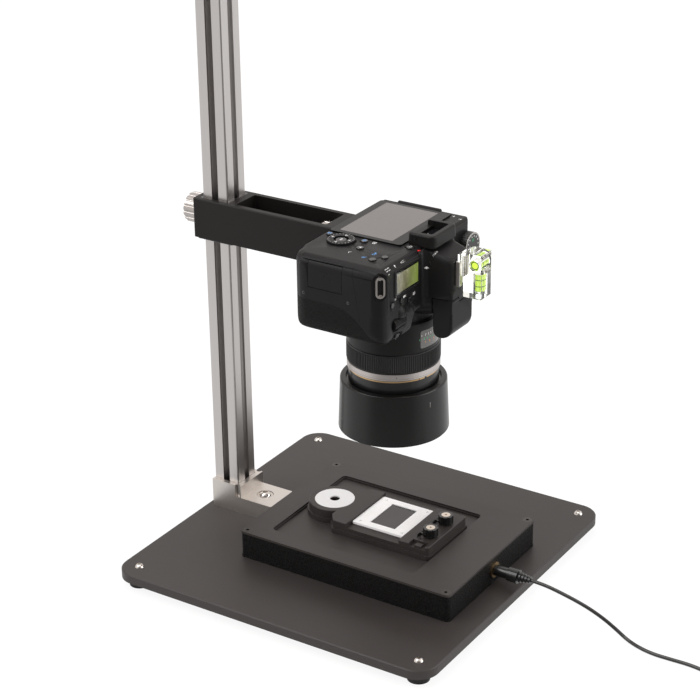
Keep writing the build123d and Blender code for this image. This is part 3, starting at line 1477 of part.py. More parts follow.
with BuildPart() as carrier_body:
    with BuildSketch(Plane.XY.offset(carrier_low)):
        add(carrier_outline.sketch)
    extrude(amount=carrier_high - carrier_low)
    chamfer(carrier_body.faces().sort_by(Axis.Z)[-1].outer_wire().edges(), carrier_edge)
    with BuildSketch(Plane.XY.offset(carrier_low)):
        add(carrier_outline.sketch)
        offset(amount=flange_rim)
    extrude(amount=flange_height)
    with BuildSketch(Plane.XY.offset(channel_floor)):
        with Locations(((carrier_left + carrier_right) / 2, slide_y)):
            Rectangle(2 * (carrier_right - carrier_left), 2 * channel_half)
    extrude(amount=carrier_high - channel_floor, mode=Mode.SUBTRACT)
    with BuildSketch(Plane.XY.offset(carrier_low)):
        with Locations((lens_x, slide_y)):
            Rectangle(film_width + 2 * gate_margin, film_height + 2 * gate_margin)
    extrude(amount=channel_floor - carrier_low, mode=Mode.SUBTRACT)
    with BuildSketch(Plane.XY.offset(carrier_high)):
        with Locations((lobe_x, lobe_y)):
            Circle(disc_radius + running)
    extrude(amount=-disc_depth, mode=Mode.SUBTRACT)
    with BuildSketch(Plane.XY.offset(carrier_low)):
        with Locations((lobe_x, lobe_y)):
            Circle(disc_hole)
    extrude(amount=carrier_high - carrier_low, mode=Mode.SUBTRACT)
    with BuildSketch(Plane.XY.offset(carrier_high)):
        for x in knob_xs:
            with Locations((x, knob_y)):
                add(groove.sketch)
    extrude(amount=-groove_depth, mode=Mode.SUBTRACT)
    with BuildSketch(Plane.XY.offset(carrier_high)):
        for x in knob_xs:
            with Locations((x, knob_y)):
                Circle(spindle_radius + running)
    extrude(amount=-spindle_length - free_gap, mode=Mode.SUBTRACT)
    with BuildSketch(Plane.XY.offset(carrier_high)):
        with Locations((carrier_left + notch_reach / 2, (notch_near + notch_far) / 2)):
            Rectangle(notch_reach, notch_far - notch_near)
    extrude(amount=-notch_depth, mode=Mode.SUBTRACT)
    with BuildSketch(Plane.XY.offset(carrier_high - notch_depth)):
        with Locations((carrier_left + notch_reach / 2, (notch_near + notch_far) / 2)):
            Rectangle(tab_reach, tab_length)
    extrude(amount=tab_height)
save(carrier_body, "carrier_body")

with BuildPart() as white_disc:
    with BuildSketch(Plane.XY.offset(carrier_high - disc_depth)):
        with Locations((lobe_x, lobe_y)):
            Circle(disc_radius)
            Circle(disc_hole, mode=Mode.SUBTRACT)
    extrude(amount=disc_depth)
save(white_disc, "white_disc")

slide_low = slide_high - slide_thickness
film_low = slide_high - (slide_thickness + film_thickness) / 2
with BuildPart() as slide_mount:
    with BuildSketch(Plane.XY.offset(slide_low)):
        with Locations((lens_x, slide_y)):
            RectangleRounded(slide_side, slide_side, slide_round)
            Rectangle(film_width, film_height, mode=Mode.SUBTRACT)
    extrude(amount=slide_thickness)
    with BuildSketch(Plane.XY.offset(film_low - running)):
        with Locations((lens_x, slide_y)):
            Rectangle(film_width + 2 * film_lap + 2 * running,
                      film_height + 2 * film_lap + 2 * running)
    extrude(amount=film_thickness + 2 * running, mode=Mode.SUBTRACT)
save(slide_mount, "slide_mount")

with BuildPart() as slide_film:
    with BuildSketch(Plane.XY.offset(film_low)):
        with Locations((lens_x, slide_y)):
            Rectangle(film_width + 2 * film_lap, film_height + 2 * film_lap)
    extrude(amount=film_thickness)
save(slide_film, "slide_film")

knob_high = above_plate(knob_top)
knob_low = carrier_high + knob_gap
plate_low = carrier_high + free_gap
for letter, x in zip("ab", knob_xs):
    with BuildPart() as carrier_knob:
        with BuildSketch(Plane.XY.offset(knob_low)):
            with Locations((x, knob_y)):
                add(fluted_disc(knob_radius, knob_lobes, knob_lobe_cut))
                Circle(insert_radius + running, mode=Mode.SUBTRACT)
        extrude(amount=knob_high - knob_low)
    save(carrier_knob, f"carrier_knob_{letter}")

    with BuildPart() as knob_spindle:
        with BuildSketch(Plane.XY.offset(carrier_high - spindle_length)):
            with Locations((x, knob_y)):
                Circle(spindle_radius)
        extrude(amount=spindle_length + knob_gap)
        with BuildSketch(Plane.XY.offset(plate_low)):
            with Locations((x, knob_y)):
                Circle(insert_radius)
            with Locations((x, knob_y + finger_reach / 2)):
                Rectangle(2 * finger_radius, finger_reach)
            with Locations((x, knob_y + finger_reach)):
                Circle(finger_radius)
        extrude(amount=finger_plate)
        with BuildSketch(Plane.XY.offset(carrier_high - groove_depth + free_gap)):
            with Locations((x, knob_y + finger_reach)):
                Circle(finger_radius)
        extrude(amount=groove_depth - free_gap + finger_rise)
        with BuildSketch(Plane.XY.offset(plate_low + finger_plate)):
            with Locations((x, knob_y)):
                Circle(insert_radius)
        extrude(amount=knob_high - plate_low - finger_plate)
        with BuildSketch(Plane.XY.offset(knob_high)):
            with Locations((x, knob_y)):
                Circle(insert_hole)
        extrude(amount=-insert_hole_depth, mode=Mode.SUBTRACT)
    save(knob_spindle, f"knob_spindle_{letter}")

# ----------------------------------------------------------------------------
# Lead: plug, run to the coil, coil, and the plug of the supply
# ----------------------------------------------------------------------------
plug_start = jack_ring_thickness + free_gap
relief_start = plug_start + plug_barrel + plug_grip
rib_pitch = relief_length / relief_ribs
plug_end = relief_start + relief_length
with BuildPart() as dc_plug:
    with BuildSketch(jack_plane):
        with BuildLine():
            outline = [(plug_start - plug_pin_length, 0), (plug_start - plug_pin_length,
                                                          plug_pin_radius)]
            outline += [(plug_start, plug_pin_radius), (plug_start, plug_radius)]
            outline += [(plug_start + plug_barrel, plug_radius),
                        (plug_start + plug_barrel, plug_grip_radius),
                        (relief_start, plug_grip_radius)]
            for rib in range(relief_ribs):
                fat = relief_radius + (relief_end_radius - relief_radius) * rib / relief_ribs
                start = relief_start + rib * rib_pitch
                outline += [(start, fat * 0.8), (start + rib_pitch / 2, fat * 0.8),
                            (start + rib_pitch / 2, fat), (start + rib_pitch, fat)]
            outline += [(plug_end, 0)]
            Polyline(outline, close=True)
        make_face()
    revolve(axis=jack_axis)
save(dc_plug, "dc_plug")

route = [(jack_x, case_front - plug_end, jack_height)] + route_points + [
    (coil_start_x, coil_start_y + 2 * lead_radius, lead_radius),
]
points = [Vector(*point) for point in route]
radii = []
length = 0.0
for before, here, after in zip(points, points[1:], points[2:]):
    turn = math.radians((here - before).get_angle(after - here))
    shorter = min((here - before).length, (after - here).length)
    radii.append(0.45 * shorter / math.tan(turn / 2))
print("lead radii", [round(radius, 1) for radius in radii])

with BuildPart() as lead_run:
    with BuildLine() as lead_path:
        FilletPolyline(*route, radius=radii)
    with BuildSketch(Plane(origin=route[0], z_dir=points[1] - points[0])):
        Circle(lead_radius)
    sweep(path=lead_path.wires()[0])
save(lead_run, "lead_run")
run_length = lead_path.wires()[0].length
run_section = math.pi * lead_radius ** 2
print("lead run", round(run_length, 1), "mm, volume ratio",
      round(lead_run.part.volume / (run_length * run_section), 4))


coil_pitch = 2 * lead_radius + coil_gap
coil_step = coil_pitch / 2
half_turns = [(coil_radius - coil_step * turn, 0) for turn in range(coil_half_turns)]
half_turns += [(coil_radius - coil_step * turn, 1)
               for turn in range(coil_half_turns - 2, -2, -1)]
tail_height = lead_radius + coil_pitch
with BuildPart() as lead_coil:
    with BuildLine() as coil_path:
        here = Vector(coil_start_x, coil_start_y, lead_radius)
        Line(here + Vector(0, 2 * lead_radius, 0), here)
        for turn, (radius, layer) in enumerate(half_turns):
            side = 1 if turn % 2 == 0 else -1
            climbs = turn == coil_half_turns - 1
            there = here + Vector(2 * side * radius, 0, coil_pitch if climbs else 0)
            middle = (here + there) / 2 - Vector(0, side * (there - here).length / 2, 0)
            ThreePointArc(here, middle, there)
            here = there
        tail_end = here - Vector(0, tail_length, 0)
        Line(here, tail_end)
    with BuildSketch(Plane(origin=coil_path.wires()[0] @ 0, z_dir=(0, -1, 0))):
        Circle(lead_radius)
    sweep(path=coil_path.wires()[0])
save(lead_coil, "lead_coil")

coil_wire = coil_path.wires()[0]
samples = [coil_wire.position_at(step / coil_samples) for step in range(coil_samples + 1)]
spacing = coil_wire.length / coil_samples
skip = math.ceil(4 * lead_radius / spacing)
least = min((a - b).length for index, a in enumerate(samples) for b in samples[index + skip:])
print("coil of", len(half_turns) / 2, "loops,", round(coil_wire.length), "mm, least gap",
      round(least - 2 * lead_radius, 2), "volume ratio",
      round(lead_coil.part.volume / (coil_wire.length * run_section), 4))

with BuildPart() as supply_plug:
    tail_plane = Plane(origin=tail_end, x_dir=(1, 0, 0), z_dir=(0, -1, 0))
    with BuildSketch(tail_plane):
        Circle(supply_neck_radius)
    extrude(amount=supply_neck, taper=-8)
    with BuildSketch(tail_plane.offset(supply_neck)):
        RectangleRounded(supply_width, 2 * tail_height, supply_round)
    extrude(amount=supply_length)
    with BuildSketch(tail_plane.offset(supply_neck + supply_length)):
        Rectangle(supply_tongue_width, supply_tongue_height)
    extrude(amount=supply_tongue)
    with BuildSketch(tail_plane.offset(supply_neck + supply_length + supply_tongue)):
        Rectangle(supply_tongue_width - 2 * supply_shell,
                  supply_tongue_height - 2 * supply_shell)
    extrude(amount=-supply_mouth, mode=Mode.SUBTRACT)
save(supply_plug, "supply_plug")
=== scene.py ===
"""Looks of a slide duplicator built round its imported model: an add-on, run as a script."""

import math

import bmesh
import bpy
from bpy.props import FloatProperty, FloatVectorProperty, IntProperty, PointerProperty
from bpy.types import Operator, Panel, PropertyGroup
from mathutils import Matrix, Vector
from mathutils.bvhtree import BVHTree


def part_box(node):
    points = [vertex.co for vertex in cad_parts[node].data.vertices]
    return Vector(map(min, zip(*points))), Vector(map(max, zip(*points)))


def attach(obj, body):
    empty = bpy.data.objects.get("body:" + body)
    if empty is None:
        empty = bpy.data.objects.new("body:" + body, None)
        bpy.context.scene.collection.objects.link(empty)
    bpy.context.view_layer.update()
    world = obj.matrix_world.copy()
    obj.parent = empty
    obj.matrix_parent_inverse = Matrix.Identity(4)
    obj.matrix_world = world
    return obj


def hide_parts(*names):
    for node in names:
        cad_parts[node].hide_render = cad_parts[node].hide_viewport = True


bl_info = {
    "name": "Slide duplicator",
    "version": (1, 0, 0),
    "blender": (4, 5, 0),
    "location": "3D View > Sidebar > Duplicator",
    "description": "Builds the looks of a slide duplicator around its packed frame",
    "category": "Object",
}

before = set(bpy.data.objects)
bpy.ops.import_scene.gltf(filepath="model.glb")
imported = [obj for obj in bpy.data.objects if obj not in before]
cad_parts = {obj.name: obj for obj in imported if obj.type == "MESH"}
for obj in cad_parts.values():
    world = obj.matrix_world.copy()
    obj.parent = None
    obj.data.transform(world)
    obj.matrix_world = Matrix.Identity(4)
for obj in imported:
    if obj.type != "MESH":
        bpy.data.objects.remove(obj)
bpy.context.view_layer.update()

MM = 0.001
ABOVE = (0, 0, 1)                 # directions of the shared frame
TO_COLUMN = (0, 1, 0)
TO_VIEWER = (0, -1, 0)
TO_GRIP = (-1, 0, 0)
LENS_AXIS = Vector((0.0, -30.4, 0.0)) * MM
KNOB_X = (-16.0, 8.7)             # centres of the two carrier knobs, in mm
KNOB_Y = -75.0
STUDIO_SIDE = (-0.84, -0.54, 0.0)   # way to the dark side of the studio
STUDIO_EDGE = (0.45, 0.85)        # where that side begins and is full, as cosines
STUDIO_START = (0.16, 0.45)       # distances at which the floor joins in with it, in metres
FLOOR_SHOWN = (1.06, 0.84)        # glow of the floor and its share, as the view sees them
FLOOR_MIRRORED = (0.90, 0.85)     # the same, as gloss sees them
SHARP_ANGLE = math.radians(32)
PIT_SCALE = 2400.0                # scale of the pits that a mould leaves
MARK_START = 3                    # height over a surface that a mark is dropped from, in mm
INK_SUNK = 0.05                   # depth of a printed mark's slab in the surface, in mm
COVER_GAP = 0.12                  # a rounding cover's distance from flat faces, in mm
COVER_SPARE = 2.5                 # its further distance where edges stay crisp, in mm
TREES = {}                        # nodes already prepared for the marks that lie on them

# Route of the lead in millimetres, from the plug's relief to the start of the coil
LEAD_ROUTE = [
    (-2.7, -160.6, 27.3), (-2.7, -171.5, 27.3), (-2.7, -190.0, 23.9), (-2.7, -204.0, 20.6),
    (-2.7, -215.0, 17.2), (-2.7, -226.5, 12.4), (-2.8, -236.5, 6.9), (-4.5, -247.5, 1.5),
    (-9.8, -260.0, 1.5), (-12.6, -273.5, 1.5), (-12.2, -289.0, 1.5), (-11.6, -303.0, 1.5),
    (-13.2, -316.0, 1.5), (-16.6, -329.5, 1.5), (-19.2, -343.0, 1.5), (-20.0, -355.5, 1.5),
]
COIL_START = (-20.0, -369.0, 1.5)
COIL_RADIUS = 25.2
COIL_PITCH = 3.6
COIL_HALF_TURNS = 9
COIL_ENTRY = 3.0
COIL_TAIL = 14.0
COIL_POINTS = 7                   # control points in each half turn


# ---------------------------------------------------------------------------
# Node graphs
# ---------------------------------------------------------------------------
class Wire:
    """A socket in a node graph that takes part in Python arithmetic."""

    def __init__(self, graph, socket):
        self.graph = graph
        self.socket = socket

    def _math(self, operation, first, second):
        return self.graph.node("ShaderNodeMath", {"operation": operation},
                               {0: first, 1: second})

    def __add__(self, other):
        return self._math("ADD", self, other)

    def __radd__(self, other):
        return self._math("ADD", other, self)

    def __sub__(self, other):
        return self._math("SUBTRACT", self, other)

    def __rsub__(self, other):
        return self._math("SUBTRACT", other, self)

    def __mul__(self, other):
        return self._math("MULTIPLY", self, other)

    def __truediv__(self, other):
        return self._math("DIVIDE", self, other)

    def __pow__(self, other):
        return self._math("POWER", self, other)

    def __gt__(self, other):
        return self._math("GREATER_THAN", self, other)

    def __lt__(self, other):
        return self._math("LESS_THAN", self, other)

    def highest(self, other):
        """The larger of this and another value."""
        return self._math("MAXIMUM", self, other)


class Graph:
    """Adds nodes to a shader or geometry tree."""

    def __init__(self, tree):
        self.tree = tree

    def node(self, kind, settings=None, values=None, output=0):
        """Add one node: its settings first, then the values or links of its sockets."""
        made = self.tree.nodes.new(kind)
        for setting, choice in (settings or {}).items():
            if setting == "stops":
                ramp = made.color_ramp
                while len(ramp.elements) < len(choice):
                    ramp.elements.new(1.0)
                for element, (place, colour) in zip(ramp.elements, choice):
                    element.position = place
                    element.color = (*colour, 1.0)
            else:
                setattr(made, setting, choice)
        for key, value in (values or {}).items():
            socket = made.inputs[key]
            if isinstance(value, Wire):
                self.tree.links.new(value.socket, socket)
            elif isinstance(value, bpy.types.NodeSocket):
                self.tree.links.new(value, socket)
            else:
                if socket.type == "RGBA":       # colours are given in three parts
                    value = (*value, 1.0)
                socket.default_value = value
        return Wire(self, made.outputs[output]) if len(made.outputs) else made


    def rays(self):
        """Whether a ray comes from the camera, from gloss or through glass."""
        return [self.node("ShaderNodeLightPath", output=f"Is {kind} Ray")
                for kind in ("Camera", "Glossy", "Transmission")]


class Finish(Graph):
    """One procedural material."""

    def __init__(self, name):
        self.material = bpy.data.materials.new(name)
        self.material.use_nodes = True
        super().__init__(self.material.node_tree)
        self.tree.nodes.clear()
        self.place = self.node("ShaderNodeTexCoord", output="Object")

    def axis(self, letter):
        """One coordinate of the place on the object, in metres."""
        return self.node("ShaderNodeSeparateXYZ", values={0: self.place}, output=letter)

    def noise(self, scale, detail=2.0, roughness=0.5, stretch=None):
        """Soft noise with features of about 1 / scale metres."""
        place = self.place
        if stretch:
            place = self.node("ShaderNodeVectorMath", {"operation": "MULTIPLY"},
                              {0: place, 1: stretch})
        return self.node("ShaderNodeTexNoise", values={
            "Vector": place, "Scale": scale, "Detail": detail, "Roughness": roughness})

    def cells(self, scale):
        """Distance field of scattered cells."""
        return self.node("ShaderNodeTexVoronoi", values={"Vector": self.place, "Scale": scale})

    def ramp(self, value, stops):
        """Map a value to colours."""
        return self.node("ShaderNodeValToRGB", {"stops": stops}, {0: value})

    def between(self, value, low, high):
        """0 below low, 1 above high, smooth between."""
        return self.node("ShaderNodeMapRange", {"interpolation_type": "SMOOTHSTEP"}, {
            "Value": value, "From Min": low, "From Max": high})

    def blend(self, factor, first, second):
        """Mix two colours."""
        return self.node("ShaderNodeMix", {"data_type": "RGBA"},
                         {0: factor, 6: first, 7: second}, output=2)

    def tinted(self, factor, tint, low, high=1.0):
        """Mix of a tint made darker or lighter in two ways."""
        return self.blend(factor, [part * low for part in tint],
                          [part * high for part in tint])

    def bump(self, height, depth):
        """Surface relief of a height field, with its depth in metres."""
        return self.node("ShaderNodeBump", values={"Height": height, "Distance": depth,
                                                   "Strength": 1.0})

    def band(self, value, low, high, soft):
        """1 between low and high, with soft edges."""
        return self.between(value, low - soft, low + soft) * (
            1 - self.between(value, high - soft, high + soft))

    def radius(self, centre):
        """Distance from an upright axis through centre, in metres."""
        x, y = self.axis("X") - centre[0], self.axis("Y") - centre[1]
        return (x * x + y * y) ** 0.5

    def surface(self, **sockets):
        """Close the material with one Principled shader."""
        values = {name.replace("_", " "): value for name, value in sockets.items()}
        shader = self.node("ShaderNodeBsdfPrincipled", values=values)
        self.node("ShaderNodeOutputMaterial", values={"Surface": shader})
        return self.material


def satin_coat(name, tint, roughness, grain=2600.0, depth=12e-6, shine=0.35):
    """Sprayed or anodised black: fine orange peel and faint cloudy wear."""
    finish = Finish(name)
    worn = 0.06
    peel = finish.noise(grain, 3.0)
    clouds = finish.noise(14.0, 4.0, 0.6)
    scuffs = finish.noise(120.0, 5.0, 0.7, stretch=(1.0, 0.35, 1.0))
    rough = roughness + (clouds - 0.5) * worn + (scuffs - 0.5) * worn
    return finish.surface(Base_Color=finish.tinted(clouds * 0.5, tint, 1.0, 1.5),
                          Roughness=rough, Specular_IOR_Level=shine,
                          Normal=finish.bump(peel, depth))


def moulded_plastic(name, tint, roughness, depth=25e-6, shine=0.3):
    """Black plastic with the fine pitted texture of its mould."""
    finish = Finish(name)
    pits = finish.cells(PIT_SCALE)
    clouds = finish.noise(30.0, 3.0)
    return finish.surface(Base_Color=finish.tinted(clouds, tint, 0.85, 1.2),
                          Roughness=roughness + (clouds - 0.5) * 0.08,
                          Specular_IOR_Level=shine, Normal=finish.bump(pits, depth))


def pebbles(finish, scale):
    """Height field of soft cells between fine creases."""
    wander = finish.noise(500.0, 2.0)
    warped = finish.node("ShaderNodeVectorMath", {"operation": "MULTIPLY_ADD"},
                         {0: wander, 1: (0.0012, 0.0012, 0.0012), 2: finish.place})
    creases = finish.node("ShaderNodeTexVoronoi", {"feature": "DISTANCE_TO_EDGE"},
                          {"Vector": warped, "Scale": scale})
    return finish.between(creases, 0.0, 0.3)


def camera_cover(name, tint, leather):
    """Moulded body with a pebbled covering over the grip and a seam in front of the door."""
    finish = Finish(name)
    x, y, z = finish.axis("X"), finish.axis("Y"), finish.axis("Z")
    grip_side = x < -0.030
    # The covering of the grip ends on a curve that falls towards the front
    forward = (-0.025 - y).highest(0.0)
    edge = 0.2662 - forward * forward * 19.0
    grip = finish.between(edge - z, 0.0, 0.0004) * grip_side
    crease = finish.band(edge - z, -0.0004, 0.0001, 0.0001) * grip_side
    # A second patch lies on the far side
    far = (x > 0.046) * finish.band(z, 0.250, 0.288, 0.0002) * (y > -0.058)
    covered = grip.highest(far)
    # The seam leans a little and runs beside the card door
    seam = finish.band(y + 0.0450 - (z - 0.2850) * 0.18, -0.00012, 0.00012, 0.00006) * (
        x < -0.060) * (z > 0.2560) * (z < 0.2995)
    grain = pebbles(finish, 780.0)
    pits = finish.cells(PIT_SCALE)
    clouds = finish.noise(30.0, 3.0)
    # Painted shade: the covering's creases are coloured darker than its cells
    shade = finish.blend(covered, finish.tinted(clouds, tint, 0.85, 1.2),
                         finish.tinted(grain, leather, 0.45))
    shade = finish.blend(seam.highest(crease * 0.8), shade, (0.002, 0.002, 0.002))
    height = covered * grain * 8.0 + (1 - covered) * pits - seam * 12.0 - crease * 8.0
    rough = 0.38 + covered * 0.14 + (clouds - 0.5) * 0.08
    return finish.surface(Base_Color=shade, Roughness=rough, Specular_IOR_Level=0.15,
                          Normal=finish.bump(height, 22e-6))


def rubber(name, tint, roughness=0.62):
    """Soft black rubber with a dusty bloom."""
    finish = Finish(name)
    bloom = finish.noise(55.0, 4.0, 0.65)
    grain = finish.noise(1800.0, 2.0)
    return finish.surface(Base_Color=finish.tinted(bloom * 0.6, tint, 1.0, 1.9),
                          Roughness=roughness + (bloom - 0.5) * 0.12,
                          Specular_IOR_Level=0.3, Normal=finish.bump(grain, 15e-6))


def leatherette(name, tint):
    """Pebbled covering: soft cells between fine creases, with painted shade in the creases."""
    finish = Finish(name)
    grain = pebbles(finish, 620.0)
    # Painted shade: the creases are coloured darker than the cells
    return finish.surface(Base_Color=finish.tinted(grain, tint, 0.4),
                          Roughness=0.58 - grain * 0.16, Specular_IOR_Level=0.18,
                          Normal=finish.bump(grain, 0.00035))


def brushed(name, tint, roughness, stretch=(1.0, 1.0, 1.0)):
    """Metal brushed in one direction, which is the one that stretch makes small."""
    finish = Finish(name)
    lines = finish.noise(2200.0, 4.0, 0.7, stretch=stretch)
    broad = finish.noise(160.0, 3.0, 0.5, stretch=stretch)
    rough = roughness + (broad - 0.5) * 0.12 + (lines - 0.5) * 0.08
    return finish.surface(Base_Color=finish.tinted(lines, tint, 0.86), Roughness=rough,
                          Metallic=1.0, Normal=finish.bump(lines, 6e-6))


def gloss_plastic(name, tint, roughness):
    """Glossy moulded plastic with faint ripples."""
    finish = Finish(name)
    ripple = finish.noise(260.0, 2.0)
    smear = finish.noise(90.0, 4.0, 0.6)
    return finish.surface(Base_Color=tint, Roughness=roughness + (smear - 0.5) * 0.1,
                          Normal=finish.bump(ripple, 10e-6), Coat_Weight=0.3)


def clear(name, tint, roughness=0.03):
    """Clear acrylic or glass."""
    finish = Finish(name)
    haze = finish.noise(70.0, 3.0)
    return finish.surface(Base_Color=tint, Roughness=roughness + haze * 0.03,
                          Transmission_Weight=1.0, IOR=1.49)


def white_plastic(name, white):
    """Fine-grained matt white plastic."""
    finish = Finish(name)
    return finish.surface(Base_Color=finish.tinted(finish.noise(60.0, 3.0), (white,) * 3, 0.97),
                          Roughness=0.42 + finish.noise(300.0) * 0.08,
                          Normal=finish.bump(finish.noise(1500.0), 6e-6))


def printed_ink(name, tint, painted_glow=0.0):
    """Ink of the printed marks, slightly uneven; some inks are given a painted glow."""
    finish = Finish(name)
    shade = finish.tinted(finish.noise(900.0, 3.0), tint, 0.85)
    # Emission here is painted light, not a lamp
    return finish.surface(Base_Color=shade, Roughness=0.5, Emission_Color=shade,
                          Emission_Strength=painted_glow)


def lens_lacquer(name, gold_tint):
    """Glossy black front barrel with its silver ring, the painted shade of a groove in it, and its
    broken gold line.
    """
    finish = Finish(name)
    z = finish.axis("Z")
    outer = finish.radius(LENS_AXIS) > 0.0358
    silver = finish.band(z, 0.1887, 0.1941, 0.00006) * outer
    shaded_groove = finish.band(z, 0.1899, 0.1901, 0.00005) * outer
    angle = finish.node("ShaderNodeMath", {"operation": "ARCTAN2"},
                        {0: finish.axis("Y") - LENS_AXIS.y, 1: finish.axis("X")})
    gaps = finish.band(angle, -1.86, -1.80, 0.004).highest(
        finish.band(angle, -2.02, -2.00, 0.004))
    gold = finish.band(z, 0.1868, 0.1878, 0.00005) * outer * (1 - gaps)
    brush = finish.noise(2000.0, 3.0, 0.6, stretch=(0.1, 0.1, 1.0))
    metal = finish.blend(brush, (0.50, 0.46, 0.44), (0.62, 0.58, 0.56))
    shade = finish.blend(silver, (0.008, 0.008, 0.008), metal)
    shade = finish.blend(gold, shade, gold_tint)
    # Painted shade: the groove in the silver ring is darker than the metal round it
    shade = finish.blend(shaded_groove, shade, (0.20, 0.19, 0.18))
    rough = 0.24 + silver * 0.14 + gold * 0.1 + (brush - 0.5) * 0.06
    return finish.surface(Base_Color=shade, Roughness=rough, Metallic=silver.highest(gold),
                          Normal=finish.bump(brush - shaded_groove * 6.0, 5e-6))


def dial_finish(name, centre, rim):
    """Black dial with a bright knurled rim behind its face; it stands along Y."""
    finish = Finish(name)
    x, z = finish.axis("X") - centre[0], finish.axis("Z") - centre[1]
    reach = (x * x + z * z) ** 0.5
    bright = finish.band(reach, rim, rim + 0.004, 0.0001) * (
        1 - finish.between(finish.axis("Y"), -0.0755, -0.0752))
    grain = finish.noise(1500.0, 3.0)
    shade = finish.blend(bright, (0.012, 0.012, 0.012), (0.46, 0.44, 0.42))
    return finish.surface(Base_Color=shade, Roughness=0.36 + (grain - 0.5) * 0.1,
                          Metallic=bright, Normal=finish.bump(grain, 10e-6))


def spindle_finish(name, centre):
    """Bright insert of a carrier knob, on a spindle with a blackened finger."""
    finish = Finish(name)
    grain = finish.noise(2200.0, 4.0, 0.7)
    insert = 1 - finish.between(finish.radius(centre), 0.00376, 0.00384)
    bright = finish.blend(grain, (0.67, 0.60, 0.52), (0.78, 0.70, 0.60))
    return finish.surface(Base_Color=finish.blend(insert, (0.006, 0.006, 0.006), bright),
                          Roughness=0.3 + (grain - 0.5) * 0.1, Metallic=insert,
                          Normal=finish.bump(grain, 6e-6))


def display_finish(name):
    """Grey-green display in a black border, with painted reflection: grey streaks of what its
    glass mirrors.
    """
    finish = Finish(name)
    x, z = finish.axis("X"), finish.axis("Z")
    reflection_streaks = finish.noise(170.0, 4.0, 0.7, stretch=(1.0, 1.0, 0.35))
    broad = finish.noise(45.0, 2.0)
    reflected_grey = finish.ramp(reflection_streaks, [(0.3, (0.10, 0.10, 0.055)), (0.55, (0.22, 0.21, 0.13)),
                                 (0.75, (0.50, 0.50, 0.38))])
    green = finish.blend(broad, (0.10, 0.16, 0.02), (0.34, 0.46, 0.08))
    # Painted reflection: grey streaks over the left side, the display's own green on the right
    shade = finish.blend(finish.between(x, -0.050, -0.026) * 0.85, reflected_grey, green)
    inside = finish.band(x, -0.0584, -0.0281, 0.0001) * finish.band(z, 0.2772, 0.2928, 0.0001)
    shade = finish.blend(inside, (0.008, 0.008, 0.008), shade)
    return finish.surface(Base_Color=shade, Roughness=0.14 + reflection_streaks * 0.06,
                          Coat_Weight=0.6)


# ---------------------------------------------------------------------------
# Shapes
# ---------------------------------------------------------------------------
def linked(name, data):
    """Object for some data, in the scene."""
    made = bpy.data.objects.new(name, data)
    bpy.context.scene.collection.objects.link(made)
    return made


def new_piece(name, vertices, faces):
    """Object with a smooth-shaded mesh whose hard edges stay sharp."""
    mesh = bpy.data.meshes.new(name)
    mesh.from_pydata([tuple(vertex) for vertex in vertices], [], faces)
    mesh.validate()
    mesh.shade_smooth()
    mesh.set_sharp_from_angle(angle=SHARP_ANGLE)
    return linked(name, mesh)


def outward(piece):
    """Merge doubles and point every face out."""
    work = bmesh.new()
    work.from_mesh(piece.data)
    bmesh.ops.remove_doubles(work, verts=work.verts, dist=1e-7)
    bmesh.ops.recalc_face_normals(work, faces=work.faces)
    work.to_mesh(piece.data)
    work.free()
    piece.data.set_sharp_from_angle(angle=SHARP_ANGLE)


def turned(name, outline, segments):
    """Piece turned about the Z axis from an outline of (radius, height) in millimetres."""
    vertices, faces, rings = [], [], []
    for radius, height in outline:
        corners = segments if radius > 0 else 1
        rings.append(range(len(vertices), len(vertices) + corners))
        for index in range(corners):
            angle = 2 * math.pi * index / segments
            vertices.append(Vector((radius * math.cos(angle), radius * math.sin(angle),
                                    height)) * MM)
    for low, high in zip(rings, rings[1:] + rings[:1]):
        for index in range(segments):
            face = [ring[place % len(ring)] for ring, place in (
                (low, index), (low, index + 1), (high, index + 1), (high, index))]
            if len(set(face)) > 2:
                faces.append(list(dict.fromkeys(face)))
    made = new_piece(name, vertices, faces)
    outward(made)
    return made


def apply_modifiers(piece):
    """Turn a piece and its modifiers into a plain mesh."""
    graph = bpy.context.evaluated_depsgraph_get()
    mesh = bpy.data.meshes.new_from_object(piece.evaluated_get(graph))
    piece.modifiers.clear()
    piece.data = mesh
    return piece


def modified(piece, kind, **settings):
    """Add a modifier to a piece, set it and apply it."""
    modifier = piece.modifiers.new(kind, kind)
    for setting, choice in settings.items():
        setattr(modifier, setting, choice)
    return apply_modifiers(piece)


def dressed(piece, material):
    """Give a piece its finish."""
    piece.data.materials.clear()
    piece.data.materials.append(material)
    return piece


def seat(piece, body, slot, *nodes):
    """Attach a piece to its body and hide the nodes that it stands for; slot is not used."""
    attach(piece, body)
    if nodes:
        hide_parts(*nodes)
    return piece


def paint(material, *nodes):
    """Give carried-over nodes their finish."""
    for name in nodes:
        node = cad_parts[name]
        if not node.data.materials:
            node.data.materials.append(material)
        for place in node.material_slots:
            place.material = material


def search_tree(mesh):
    """Tree that finds where a ray meets a mesh."""
    return BVHTree.FromPolygons([vertex.co.copy() for vertex in mesh.vertices],
                                [tuple(face.vertices) for face in mesh.polygons])


def drop(nodes, start, direction):
    """Nearest point of some nodes from start along a direction."""
    hits = []
    for name in nodes:
        if name not in TREES:
            TREES[name] = search_tree(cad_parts[name].data)
        place, _, _, reach = TREES[name].ray_cast(start, direction)
        if place is not None:
            hits.append((reach, place))
    if not hits:
        raise RuntimeError(f"a mark misses {nodes}")
    return min(hits, key=lambda hit: hit[0])[1]


